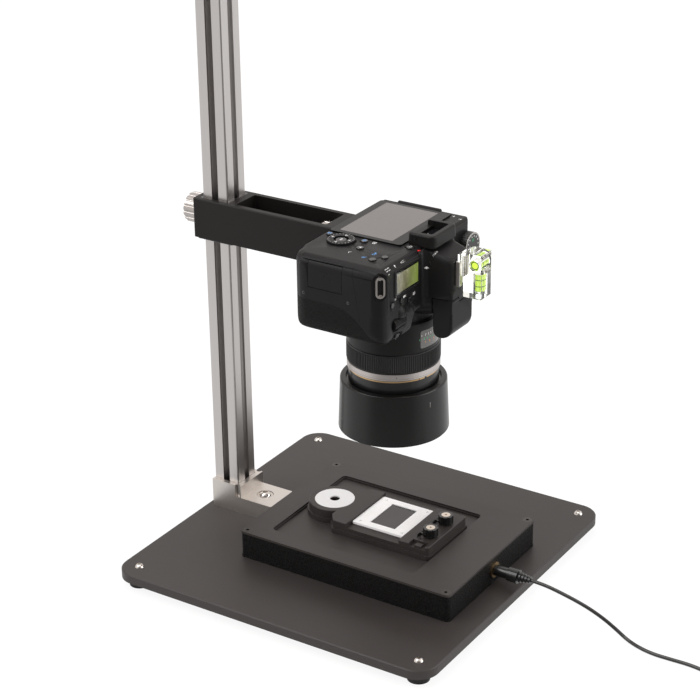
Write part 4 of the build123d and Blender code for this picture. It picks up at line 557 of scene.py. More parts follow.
def softened(name, node, voxel, passes, weight):
    """Copy of a node whose edges are rounded where weight says, and crisp elsewhere.

    A cover is made of the node, smoothed where weight is 1, and moved out a little there and
    further elsewhere, so that its overlap with the copy is rounded at the smooth edges only.
    """
    made = linked(name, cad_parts[node].data.copy())
    outward(made)
    cover = linked(f"{name}_cover", made.data.copy())
    modified(cover, "REMESH", mode="VOXEL", voxel_size=voxel)
    group = cover.vertex_groups.new(name="soft")
    shares = [weight(vertex.co / MM) for vertex in cover.data.vertices]
    for index, share in enumerate(shares):
        group.add([index], share, "REPLACE")
    modified(cover, "SMOOTH", factor=0.5, iterations=passes, vertex_group="soft")
    moves = [vertex.co + vertex.normal * (COVER_GAP + (1 - share) * COVER_SPARE) * MM
             for vertex, share in zip(cover.data.vertices, shares)]
    for vertex, place in zip(cover.data.vertices, moves):
        vertex.co = place
    modified(cover, "REMESH", mode="VOXEL", voxel_size=voxel)
    modified(made, "BOOLEAN", operation="INTERSECT", solver="MANIFOLD", object=cover)
    bpy.data.objects.remove(cover)
    outward(made)
    made.data.shade_smooth()
    made.data.set_sharp_from_angle(angle=SHARP_ANGLE)
    modified(made, "WEIGHTED_NORMAL", keep_sharp=True, weight=60)
    TREES[node] = search_tree(made.data)
    return made


def ease(value, low, high):
    """0 below low, 1 above high, even between."""
    return min(max((value - low) / (high - low), 0.0), 1.0)


# Outlines of printed marks, in millimetres
def bar(x, y, width, height, turn=0.0):
    """Four corners of a bar."""
    cosine, sine = math.cos(math.radians(turn)), math.sin(math.radians(turn))
    return [(x + a * cosine - b * sine, y + a * sine + b * cosine) for a, b in (
        (-width / 2, -height / 2), (width / 2, -height / 2), (width / 2, height / 2),
        (-width / 2, height / 2))]


def bars(height, *spans):
    """Upright bars side by side, from the place and the width of each."""
    return [bar(x, 0, width, height) for x, width in spans]


def spokes(count, radius, width, height, offset=0.0):
    """Bars evenly spaced on a circle."""
    angles = [2 * math.pi * (index + offset) / count for index in range(count)]
    return [bar(radius * math.cos(angle), radius * math.sin(angle), width, height,
                math.degrees(angle) - 90) for angle in angles]


def arc(x, y, radius, first, sweep, corners):
    """Points from one angle on round a centre."""
    angles = [math.radians(first + sweep * index / corners) for index in range(corners + 1)]
    return [(x + radius * math.cos(angle), y + radius * math.sin(angle)) for angle in angles]


def dot(x, y, radius, corners=14):
    """Corners of a round or many-sided spot."""
    return arc(x, y, radius, 0.0, 360.0, corners)[:-1]


def hoop(x, y, radius, width, first=0.0, sweep=354.0, corners=20):
    """Outline of a broken ring."""
    inner = arc(x, y, radius - width, first, sweep, corners)
    return arc(x, y, radius, first, sweep, corners) + inner[::-1]


def pill(width, height, radius, corners=5):
    """Outline of a bar with round corners."""
    return [point for side, end, first in ((-1, -1, 180), (1, -1, 270), (1, 1, 0), (-1, 1, 90))
            for point in arc(side * (width / 2 - radius), end * (height / 2 - radius), radius,
                             first, 90, corners)]


def frame_mark(x, y, width, height, line):
    """Four bars of a rectangular frame."""
    return [bar(x, y + (height - line) / 2, width, line),
            bar(x, y - (height - line) / 2, width, line),
            bar(x - (width - line) / 2, y, line, height - 2 * line),
            bar(x + (width - line) / 2, y, line, height - 2 * line)]


def printed(name, shapes, centre, normal, up, nodes, material, body, slot="white",
            rise=0.04):
    """Thin ink slabs, laid on nodes from outlines in millimetres round a centre."""
    normal = Vector(normal).normalized()
    side = Vector(up).cross(normal).normalized()
    upward = normal.cross(side)
    start = normal * MARK_START * MM
    vertices, faces = [], []
    for shape in shapes:
        base, count = len(vertices), len(shape)
        ground = [drop(nodes, (Vector(centre) + side * x + upward * y) * MM + start, -normal)
                  for x, y in shape]
        vertices += [place + normal * rise * MM for place in ground]
        vertices += [place - normal * INK_SUNK * MM for place in ground]
        faces.append(tuple(range(base, base + count)))
        faces.append(tuple(reversed(range(base + count, base + 2 * count))))
        for first in range(count):
            after = (first + 1) % count
            faces.append((base + first, base + count + first, base + count + after,
                          base + after))
    return seat(dressed(new_piece(name, vertices, faces), material), body, slot)


def grown(name, inputs, material, build):
    """Piece grown by a geometry node tree and turned into a plain mesh."""
    tree = bpy.data.node_groups.new(name, "GeometryNodeTree")
    graph = Graph(tree)
    sockets = {}
    for label, value in inputs.items():
        kind = "NodeSocketInt" if isinstance(value, int) else "NodeSocketFloat"
        sockets[label] = tree.interface.new_socket(label, in_out="INPUT", socket_type=kind)
    tree.interface.new_socket("Geometry", in_out="OUTPUT", socket_type="NodeSocketGeometry")
    entry = tree.nodes.new("NodeGroupInput")
    shape = build(graph, {label: Wire(graph, entry.outputs[label]) for label in inputs})
    solid = graph.node("GeometryNodeRealizeInstances", values={"Geometry": shape})
    finished = graph.node("GeometryNodeSetMaterial", values={"Geometry": solid,
                                                             "Material": material})
    graph.node("NodeGroupOutput", values={"Geometry": finished})
    piece = new_piece(name, [], [])
    modifier = piece.modifiers.new(name, "NODES")
    modifier.node_group = tree
    for label, value in inputs.items():
        modifier[sockets[label].identifier] = value
    return apply_modifiers(piece)


def ring_of_ribs(name, count, radius, height, thickness, material):
    """Upright round ribs, evenly spaced round the origin."""
    def build(graph, entry):
        rib = graph.node("GeometryNodeMeshCylinder", values={
            "Vertices": 8, "Radius": entry["Thickness"] / 2, "Depth": entry["Height"]})
        circle = graph.node("GeometryNodeMeshCircle", values={
            "Vertices": entry["Count"], "Radius": entry["Radius"]})
        return graph.node("GeometryNodeInstanceOnPoints", values={
            "Points": circle, "Instance": rib}, output="Instances")

    return grown(name, {"Count": count, "Radius": radius, "Height": height,
                        "Thickness": thickness}, material, build)


def grid_of_studs(name, columns, rows, pitch_x, pitch_y, radius, material):
    """Low round studs on a grid round the origin, in the XY plane."""
    def build(graph, entry):
        stud = graph.node("GeometryNodeMeshUVSphere", values={
            "Segments": 10, "Rings": 6, "Radius": entry["Radius"]})
        grid = graph.node("GeometryNodeMeshGrid", values={
            "Size X": entry["Width"], "Size Y": entry["Length"],
            "Vertices X": entry["Columns"], "Vertices Y": entry["Rows"]})
        return graph.node("GeometryNodeInstanceOnPoints", values={
            "Points": grid, "Instance": stud}, output="Instances")

    return grown(name, {"Columns": columns, "Rows": rows, "Width": pitch_x * (columns - 1),
                        "Length": pitch_y * (rows - 1), "Radius": radius}, material, build)


def moved(piece, centre, direction=ABOVE):
    """Put a piece made round the origin at its place, in its mesh."""
    turn = Vector(ABOVE).rotation_difference(Vector(direction)).to_matrix().to_4x4()
    piece.data.transform(Matrix.Translation(Vector(centre) * MM) @ turn)
    outward(piece)
    return piece


def joined(name, *pieces):
    """One piece made of several, each with its own finish."""
    work = bmesh.new()
    materials = []
    for piece in pieces:
        start = len(work.faces)
        work.from_mesh(piece.data)
        work.faces.ensure_lookup_table()
        shade = piece.data.materials[0]
        if shade not in materials:
            materials.append(shade)
        for face in work.faces[start:]:
            face.material_index = materials.index(shade)
            face.smooth = True
        bpy.data.objects.remove(piece)
    made = new_piece(name, [], [])
    work.to_mesh(made.data)
    work.free()
    for shade in materials:
        made.data.materials.append(shade)
    made.data.set_sharp_from_angle(angle=SHARP_ANGLE)
    return made


# Small plain digits of the distance scale: 1, 2, 3, 5 and 7, each made of bars
TOP, MIDDLE, BOTTOM = (bar(0, y, 1.0, 0.25) for y in (0.7, 0, -0.7))
UPPER_LEFT, UPPER_RIGHT, LOWER_LEFT, LOWER_RIGHT = (
    bar(x, y, 0.25, 0.7) for y in (0.35, -0.35) for x in (-0.4, 0.4))
RIGHT = bar(0.4, 0, 0.25, 1.6)
DIGITS = (
    [bar(0, 0, 0.3, 1.6)],
    [TOP, UPPER_RIGHT, MIDDLE, LOWER_LEFT, BOTTOM],
    [TOP, RIGHT, bar(0, 0, 0.7, 0.25), BOTTOM],
    [TOP, UPPER_LEFT, MIDDLE, LOWER_RIGHT, BOTTOM],
    [TOP, RIGHT],
)


# ---------------------------------------------------------------------------
# What a user may change
# ---------------------------------------------------------------------------
class DUPLICATOR_PG_view(PropertyGroup):
    """Camera and light."""

    focal_length: FloatProperty(name="Focal length", description="Lens of the view, in mm",
                                default=104.788)
    azimuth: FloatProperty(name="Azimuth", description="Direction that the view comes from",
                           default=math.radians(-57.1227), subtype="ANGLE")
    elevation: FloatProperty(name="Elevation", description="Height angle of the view",
                             default=math.radians(24.5364), subtype="ANGLE")
    roll: FloatProperty(name="Roll", description="Lean of the view",
                        default=math.radians(-0.7473), subtype="ANGLE")
    location: FloatVectorProperty(name="Location", description="Place of the view",
                                  default=(-1.26367, -0.80571, 0.87590), subtype="TRANSLATION")
    floor_size: FloatProperty(name="Floor", description="Side of the pale floor",
                              default=14.0, unit="LENGTH")
    key_power: FloatProperty(name="Key light", description="Power of the large soft light",
                             default=24.0)
    room_light: FloatProperty(name="Room light", description="Strength of the pale room",
                              default=0.80)
    studio_dark: FloatProperty(name="Dark side", description="How dark gloss sees one side",
                               default=0.85)


class DUPLICATOR_PG_finish(PropertyGroup):
    """Colours of the finishes."""

    coat: FloatVectorProperty(name="Plate coat", description="Base plate and light box",
                              default=(0.033, 0.0285, 0.027), subtype="COLOR")
    arm_coat: FloatVectorProperty(name="Arm coat", description="Matte black of the arm",
                                  default=(0.0115, 0.0105, 0.010), subtype="COLOR")
    plastic: FloatVectorProperty(name="Camera plastic", description="Moulded camera body",
                                 default=(0.0095, 0.009, 0.0092), subtype="COLOR")
    leather: FloatVectorProperty(name="Leatherette", description="Pebbled covering",
                                 default=(0.0075, 0.007, 0.0068), subtype="COLOR")
    anodised: FloatVectorProperty(name="Profile", description="Clear anodised aluminium",
                                  default=(0.60, 0.575, 0.56), subtype="COLOR")
    bright: FloatVectorProperty(name="Bright metal", description="Screws and bracket",
                                default=(0.70, 0.66, 0.62), subtype="COLOR")
    gold: FloatVectorProperty(name="Gold line", description="Thin line round the lens",
                              default=(0.62, 0.42, 0.22), subtype="COLOR")
    liquid: FloatVectorProperty(name="Level liquid", description="Liquid in the vials",
                                default=(0.62, 0.95, 0.06), subtype="COLOR")
    marks: FloatVectorProperty(name="Printed marks", description="White marks",
                               default=(0.80, 0.80, 0.80), subtype="COLOR")


class DUPLICATOR_PG_sizes(PropertyGroup):
    """Counts and sizes of repeated details."""

    focus_ribs: IntProperty(name="Focus ribs", description="Ribs round the focusing ring",
                            default=140)
    lead_diameter: FloatProperty(name="Lead", description="Diameter of the lead",
                                 default=0.003, unit="LENGTH")


# ---------------------------------------------------------------------------
# Stage
# ---------------------------------------------------------------------------
class DUPLICATOR_OT_stage(Operator):
    """Pale floor, soft lights, room and camera"""

    bl_idname = "duplicator.stage"
    bl_label = "Stage"

    def execute(self, context):
        scene = context.scene
        view = scene.duplicator_view
        scene.view_settings.view_transform = "Standard"
        self.camera(scene, view)
        self.room(scene, view)
        self.floor(view)
        self.lamps(view)
        return {"FINISHED"}

    def camera(self, scene, view):
        """Camera at the photograph's place."""
        back = Vector((math.sin(view.azimuth) * math.cos(view.elevation),
                       -math.cos(view.azimuth) * math.cos(view.elevation),
                       math.sin(view.elevation)))
        right = Vector((math.cos(view.azimuth), math.sin(view.azimuth), 0.0))
        up = back.cross(right)
        leaned_right = right * math.cos(view.roll) + up * math.sin(view.roll)
        leaned_up = up * math.cos(view.roll) - right * math.sin(view.roll)
        data = bpy.data.cameras.new("view")
        data.lens = view.focal_length
        data.sensor_width = 36.0
        data.clip_start = 0.05
        data.clip_end = 40.0
        made = linked("view", data)
        turn = Matrix((leaned_right, leaned_up, back)).transposed()
        made.matrix_world = Matrix.Translation(view.location) @ turn.to_4x4()
        scene.camera = made

    def room(self, scene, view):
        """White room, softer as light, with a dark studio behind the view for gloss."""
        world = bpy.data.worlds.new("room")
        world.use_nodes = True
        graph = Graph(world.node_tree)
        world.node_tree.nodes.clear()
        camera_ray, glossy_ray, clear_ray = graph.rays()
        toward = graph.node("ShaderNodeVectorMath", {"operation": "DOT_PRODUCT"}, {
            0: graph.node("ShaderNodeTexCoord", output="Generated"), 1: STUDIO_SIDE},
            output="Value")
        dark = graph.node("ShaderNodeMapRange", {"interpolation_type": "SMOOTHSTEP"}, {
            "Value": toward, "From Min": STUDIO_EDGE[0], "From Max": STUDIO_EDGE[1]})
        shown = camera_ray.highest(glossy_ray * (1 - dark * view.studio_dark)).highest(clear_ray)
        strength = shown + (1 - camera_ray.highest(glossy_ray).highest(clear_ray)) * (
            view.room_light)
        tint = graph.node("ShaderNodeMix", {"data_type": "RGBA"}, {
            0: camera_ray, 6: (1.0, 0.955, 0.93), 7: (1.0, 1.0, 1.0)}, output=2)
        light = graph.node("ShaderNodeBackground", values={"Color": tint, "Strength": strength})
        graph.node("ShaderNodeOutputWorld", values={"Surface": light})
        scene.world = world

    def floor(self, view):
        """White floor that keeps a soft shadow and ends, for gloss, on the studio's side."""
        half = view.floor_size / 2
        made = new_piece("floor", [(-half, -half, 0), (half, -half, 0), (half, half, 0),
                                   (-half, half, 0)], [(0, 1, 2, 3)])
        finish = Finish("floor")
        reach = finish.node("ShaderNodeVectorMath", {"operation": "LENGTH"},
                            {0: finish.place}, output="Value")
        toward = finish.node("ShaderNodeVectorMath", {"operation": "DOT_PRODUCT"}, {
            0: finish.place, 1: STUDIO_SIDE}, output="Value") / (reach + 0.01)
        dark = finish.between(toward, *STUDIO_EDGE) * finish.between(reach, *STUDIO_START)
        camera_ray, glossy_ray, clear_ray = finish.rays()
        seen_ray = camera_ray.highest(clear_ray)
        diffuse = finish.node("ShaderNodeBsdfDiffuse", values={"Color": (0.86, 0.86, 0.86)})
        white = finish.node("ShaderNodeEmission", values={
            "Strength": seen_ray * FLOOR_SHOWN[0] + glossy_ray * (
                1 - dark * view.studio_dark) * FLOOR_MIRRORED[0]})
        mixed = finish.node("ShaderNodeMixShader", values={
            0: (seen_ray * FLOOR_SHOWN[1]).highest(glossy_ray * FLOOR_MIRRORED[1]),
            1: diffuse, 2: white})
        finish.node("ShaderNodeOutputMaterial", values={"Surface": mixed})
        made.data.materials.append(finish.material)

    def lamps(self, view):
        """Large soft box behind the left shoulder, and weaker ones in front and on top."""
        for name, place, size, power in (
                ("key", (-1.3, 1.0, 2.1), 1.5, view.key_power),
                ("front", (0.9, -2.0, 1.0), 1.4, view.key_power * 0.75),
                ("top", (0.3, 0.2, 2.6), 1.4, view.key_power * 0.6)):
            data = bpy.data.lights.new(name, "AREA")
            data.shape = "SQUARE"
            data.size = size
            data.energy = power
            made = linked(name, data)
            made.location = place
            aim = Vector((0, 0, 0.15)) - Vector(place)
            made.rotation_euler = aim.to_track_quat("-Z", "Y").to_euler()


# ---------------------------------------------------------------------------
# Lead
# ---------------------------------------------------------------------------
def lead_points():
    """Control points of the lead: its route, then its coil, in on the floor and out above."""
    x, y, z = COIL_START
    points = [*LEAD_ROUTE, (x, y + COIL_ENTRY, z)]
    turns = (*range(COIL_HALF_TURNS), *range(COIL_HALF_TURNS - 2, -2, -1))
    reach = 1 / math.cos(math.pi / (2 * COIL_POINTS))
    for index, turn in enumerate(turns):
        radius = COIL_RADIUS - COIL_PITCH / 2 * turn
        side = 1 if index % 2 == 0 else -1
        climbs = index == COIL_HALF_TURNS - 1
        centre = x + side * radius
        for step in range(COIL_POINTS):
            angle = math.pi * (step + 0.5) / COIL_POINTS
            rise = COIL_PITCH * (step + 0.5) / COIL_POINTS if climbs else 0.0
            points.append((centre - side * radius * reach * math.cos(angle),
                           y - side * radius * reach * math.sin(angle), z + rise))
        x += 2 * side * radius
        z += COIL_PITCH if climbs else 0.0
    points.append((x, y - COIL_TAIL / 2, z))
    points.append((x, y - COIL_TAIL, z))
    return points


class DUPLICATOR_OT_lead(Operator):
    """Lead of the light box, its two plugs and its socket"""

    bl_idname = "duplicator.lead"
    bl_label = "Lead"

    def execute(self, context):
        sizes = context.scene.duplicator_sizes
        data = bpy.data.curves.new("lead", "CURVE")
        data.dimensions = "3D"
        data.bevel_depth = sizes.lead_diameter / 2
        data.bevel_resolution = 6
        data.resolution_u = 6
        data.use_fill_caps = True
        spline = data.splines.new("NURBS")
        points = lead_points()
        spline.points.add(len(points) - 1)
        for place, point in zip(spline.points, points):
            place.co = (point[0] * MM, point[1] * MM, point[2] * MM, 1.0)
        spline.order_u = 3
        spline.use_endpoint_u = True
        jacket = gloss_plastic("lead_jacket", (0.008, 0.008, 0.008), 0.34)
        made = seat(dressed(linked("lead", data), jacket), "stand", "lead", "lead_run",
                    "lead_coil")
        plug = gloss_plastic("plug_plastic", (0.009, 0.009, 0.009), 0.3)
        paint(plug, "dc_plug", "supply_plug")
        paint(brushed("socket_brass", (0.72, 0.52, 0.28), 0.28, (1.0, 0.1, 1.0)), "dc_jack")
        return {"FINISHED"}


# ---------------------------------------------------------------------------
# Stand and arm
# ---------------------------------------------------------------------------
class DUPLICATOR_OT_stand(Operator):
    """Base plate, feet, screws, bracket and column"""

    bl_idname = "duplicator.stand"
    bl_label = "Stand"

    def execute(self, context):
        look = context.scene.duplicator_finish
        paint(satin_coat("plate_coat", look.coat, 0.44), "base_plate")
        paint(rubber("foot_rubber", (0.012, 0.012, 0.012)), "rubber_feet")
        paint(brushed("screw_steel", look.bright, 0.16), "stand_screws")
        paint(brushed("profile_aluminium", look.anodised, 0.34, (1.0, 1.0, 0.01)), "column")
        paint(brushed("bracket_aluminium", look.bright, 0.36, (1.0, 0.03, 1.0)),
              "column_bracket")
        paint(moulded_plastic("cap_plastic", look.plastic, 0.5), "column_cap")
        return {"FINISHED"}


class DUPLICATOR_OT_arm(Operator):
    """Arm, its bush and the two knobs"""

    bl_idname = "duplicator.arm"
    bl_label = "Arm"

    def execute(self, context):
        look = context.scene.duplicator_finish
        paint(satin_coat("arm_coat", look.arm_coat, 0.42, grain=3200.0, shine=0.16), "arm")
        paint(gloss_plastic("bush_plastic", (0.008, 0.008, 0.008), 0.2), "arm_bush")
        paint(brushed("knob_aluminium", (0.50, 0.47, 0.45), 0.24, (1.0, 0.05, 1.0)),
              "clamp_knob", "camera_knob")
        return {"FINISHED"}


# ---------------------------------------------------------------------------
# Light box and carrier
# ---------------------------------------------------------------------------
class DUPLICATOR_OT_light_box(Operator):
    """Light box: case, top plate, screws, diffuser and lamp board"""

    bl_idname = "duplicator.light_box"
    bl_label = "Light box"

    def execute(self, context):
        look = context.scene.duplicator_finish
        paint(satin_coat("panel_coat", look.coat, 0.46), "light_box_panel")
        paint(leatherette("box_leatherette", look.leather), "light_box_case")
        paint(brushed("black_oxide", (0.10, 0.095, 0.09), 0.36), "panel_screws")
        opal = Finish("opal")
        paint(opal.surface(Base_Color=(0.82, 0.82, 0.80),
                           Roughness=0.5 + opal.noise(200.0) * 0.1), "diffuser")
        board = Finish("lamp_board")
        paint(board.surface(Base_Color=board.ramp(board.noise(400.0), [
            (0.0, (0.01, 0.10, 0.03)), (1.0, (0.02, 0.16, 0.05))]), Roughness=0.4), "led_board")
        return {"FINISHED"}


class DUPLICATOR_OT_carrier(Operator):
    """Carrier, focusing disc, slide and the two locking knobs"""

    bl_idname = "duplicator.carrier"
    bl_label = "Carrier"

    def execute(self, context):
        look = context.scene.duplicator_finish
        paint(moulded_plastic("carrier_plastic", look.coat, 0.44, depth=12e-6), "carrier_body")
        paint(white_plastic("disc_plastic", 0.72), "white_disc")
        paint(white_plastic("mount_plastic", 0.93), "slide_mount")
        film = Finish("film")
        paint(film.surface(
            Base_Color=film.blend(film.noise(40.0), (0.030, 0.026, 0.028), (0.050, 0.044, 0.046)),
            Roughness=0.12 + film.noise(40.0) * 0.12, Specular_IOR_Level=0.45), "slide_film")
        paint(gloss_plastic("knob_plastic", (0.006, 0.006, 0.006), 0.1),
              "carrier_knob_a", "carrier_knob_b")
        for letter, x in zip("ab", KNOB_X):
            node = f"knob_spindle_{letter}"
            paint(spindle_finish(node, (x * MM, KNOB_Y * MM)), node)
        self.marks()
        return {"FINISHED"}

    def marks(self):
        """Corner marks of the slide mount, and painted shade along the rims of the grooves beside
        the knobs.
        """
        spots = []
        for x, y, turn in ((-20.6, -10.0, 0), (20.6, -10.0, 90), (20.6, -50.0, 180),
                           (-20.6, -50.0, 270)):
            spots += [bar(x, y, 2.2, 0.5, turn), bar(x + 0.5, y - 0.8, 0.5, 1.6, turn)]
        printed("mount_marks", spots, (0, 0, 46.8), ABOVE, TO_COLUMN, ["slide_mount"],
                printed_ink("mount_ink", (0.46, 0.45, 0.44)), "slide", rise=0.03)
        # Near-black arcs along the grooves' rims: painted shade
        rim_shade = [hoop(x, KNOB_Y, radius, 0.35, first=25, sweep=130, corners=24)
                for x in KNOB_X for radius in (8.2, 11.3)]
        printed("knob_arcs", rim_shade, (0, 0, 48.8), ABOVE, TO_COLUMN, ["carrier_body"],
                satin_coat("arc_shade", (0.006, 0.006, 0.006), 0.5), "carrier",
                slot="black_plastic", rise=0.06)


# ---------------------------------------------------------------------------
# Camera
# ---------------------------------------------------------------------------
def body_share(place):
    """How far the camera body's edges are rounded at a place, in millimetres."""
    grip = ease(-place.x, 52, 62) * max(ease(place.y, 0, 5), ease(270 - place.z, 0, 6))
    hump = ease(-place.y, 72, 75) * ease(place.z, 262, 266) * ease(26 - abs(place.x), 0, 3)
    far = ease(place.x, 54, 58) * ease(place.y, -40, -30)
    return max(grip, hump, far)


def flash_share(place):
    """How far the flash head's edges are rounded: away from its hinge."""
    return ease(254 - place.z, 0, 4)


class DUPLICATOR_OT_camera(Operator):
    """Camera body and the pieces on it"""

    bl_idname = "duplicator.camera"
    bl_label = "Camera"

    def execute(self, context):
        look = context.scene.duplicator_finish
        body = moulded_plastic("camera_plastic", look.plastic, 0.36, shine=0.13)
        skin = camera_cover("camera_cover", look.plastic, look.leather)
        paint(skin, "card_door")
        seat(dressed(softened("camera_body", "camera_shell", 1.4 * MM, 46, body_share), skin),
             "camera", "black_plastic", "camera_shell")
        seat(dressed(softened("flash_body", "flash_head", 0.9 * MM, 16, flash_share), body),
             "flash", "black_plastic", "flash_head")
        paint(body, "screen_hinge", "control_wheel", "rear_dial")
        paint(satin_coat("screen_frame", (0.006, 0.006, 0.006), 0.3, shine=0.2), "screen_panel")
        paint(dial_finish("mode_dial_finish", (0.0465, 0.2815), 0.0100), "mode_dial")
        paint(satin_coat("eyecup_rubber", (0.0065, 0.0062, 0.006), 0.4, shine=0.2), "eyecup")
        paint(gloss_plastic("button_plastic", (0.008, 0.008, 0.008), 0.26),
              *(f"{use}_button" for use in ("set", "delete", "quick", "play", "zoom_out",
                                            "zoom_in", "live", "shutter", "focus", "speed",
                                            "meter")))
        paint(brushed("shoe_steel", look.bright, 0.3, (1.0, 1.0, 0.05)), "hot_shoe",
              "strap_lugs")
        glass = Finish("screen_glass")
        paint(glass.surface(
            Base_Color=glass.blend(glass.noise(20.0), (0.060, 0.051, 0.049),
                                   (0.080, 0.069, 0.066)),
            Roughness=0.2 + glass.noise(30.0) * 0.06, Coat_Weight=0.6, Coat_Roughness=0.08),
            "screen_glass")
        paint(display_finish("display"), "status_window")
        self.eyepiece()
        self.level(look)
        self.small_parts(body)
        self.marks(look)
        return {"FINISHED"}

    def eyepiece(self):
        """Dark glass at the bottom of the eyecup and the fine ribs on its side."""
        glass = gloss_plastic("eyepiece_glass", (0.004, 0.004, 0.006), 0.04)
        printed("eyepiece_glass", [pill(22, 10, 1.5)], (0, -65.6, 304), ABOVE, TO_COLUMN,
                ["camera_shell"], glass, "camera", slot="screen_glass", rise=0.5)
        printed("eyecup_ribs", bars(4.6, *((x, 0.45) for x in (-2.6, -1.3, 0.0, 1.3, 2.6))),
                (-18.5, -59.6, 306.0), TO_GRIP, ABOVE, ["eyecup"],
                rubber("rib_rubber", (0.012, 0.012, 0.012), 0.4), "camera", slot="rubber",
                rise=0.35)

    def level(self, look):
        """Clear block, its two vials of liquid, their rings and bubbles."""
        paint(clear("acrylic", (0.96, 0.98, 0.94)), "level_block")
        liquid = Finish("vial_liquid_painted_glow")
        shade = liquid.blend(liquid.noise(120.0, 2.0), look.liquid, (0.78, 1.0, 0.10))
        # The liquid's emission is a painted glow: the vials hold no lamp
        finishes = (liquid.surface(Base_Color=shade, Roughness=0.12, Coat_Weight=0.4,
                                   Emission_Color=shade, Emission_Strength=0.22),
                    # The bubble's pale yellow and its glow are a painted glint
                    printed_ink("vial_bubble_painted_glint", (0.85, 0.95, 0.15), painted_glow=0.5),
                    printed_ink("vial_ring", (0.03, 0.14, 0.01)))
        low, high = (Vector(corner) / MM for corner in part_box("level_vials"))
        across = self.vial("across", *finishes, high.x - low.x - 0.4, (0, -107.2, 289.8),
                           (1, 0, 0))
        upright = self.vial("upright", *finishes, 14.2, (0, -108.6, 275.2), ABOVE)
        seat(joined("vials", *across, *upright), "level", "vial", "level_vials")

    def vial(self, name, liquid, bubble_glint, ring, length, centre, direction):
        """Loose pieces of one vial: liquid, a bubble with a painted glint, two rings and a line
        round each end.
        """
        half, radius, edge = length / 2, 4.15, 0.8
        barrel = turned(name, [(0, -half), (radius - edge, -half), (radius, -half + edge),
                               (radius, half - edge), (radius - edge, half), (0, half)], 48)
        spot = turned(f"{name}_bubble", [(0, -2.2), (1.1, -1.9), (1.9, -0.9), (2.1, 0.0),
                                         (1.9, 0.9), (1.1, 1.9), (0, 2.2)], 24)
        spot.data.transform(Matrix.Translation((2.6 * MM, 0.0, 0.0)))
        rings = [turned(f"{name}_ring", [(inner, low), (outer, low), (outer, high),
                                         (inner, high)], 48)
                 for inner, outer, low, high in (
                     (radius - 0.1, radius + 0.14, -2.6 - 0.28, -2.6 + 0.28),
                     (radius - 0.1, radius + 0.14, 2.6 - 0.28, 2.6 + 0.28),
                     (radius - 1.5, radius - 0.75, half - 0.06, half + 0.03),
                     (radius - 1.5, radius - 0.75, -half - 0.03, -half + 0.06))]
        loose = [dressed(barrel, liquid), dressed(spot, bubble_glint)]
        loose += [dressed(piece, ring) for piece in rings]
        return [moved(piece, centre, direction) for piece in loose]

    def small_parts(self, body):
        """Screws, studs and lines of the card door's side, one of them a slot in painted shade."""
        dark = gloss_plastic("small_screw", (0.02, 0.02, 0.02), 0.3)
        heads = []
        for y in (0.9, -39.4):
            head = turned("side_screw", [(0, -0.3), (1.35, -0.3), (1.35, 0.05), (1.15, 0.18),
                                         (0.6, 0.20), (0.45, -0.1), (0, -0.15)], 24)
            place = drop(["camera_shell"], Vector((-90, y, 270.9)) * MM, Vector((1, 0, 0)))
            heads.append(moved(dressed(head, dark), place / MM, TO_GRIP))
        seat(joined("side_screws", *heads), "camera", "black_screws")
        studs = grid_of_studs("door_studs", 4, 3, 3.0 * MM, 2.6 * MM, 0.35 * MM, body)
        seat(moved(studs, (-79.9, -20.5, 283.4), TO_GRIP), "card_door", "black_plastic")
        # The slot is a near-black bar: painted shade where the slot is recessed
        for name, shapes, y, z, material, rise in (
                ("door_slot", [bar(0, 0, 27.0, 0.55)], -18.5, 277.0,
                 satin_coat("slot_shade", (0.002, 0.002, 0.002), 0.7), 0.03),
                ("door_arrow", [[(-3.2, -0.5), (3.2, -0.5), (3.2, 0.0), (0, 0.9), (-3.2, 0.0)]],
                 -18.0, 291.0, body, 0.12)):
            printed(name, shapes, (-80.0, y, z), TO_GRIP, ABOVE, ["card_door"], material,
                    "card_door", slot="black_plastic", rise=rise)

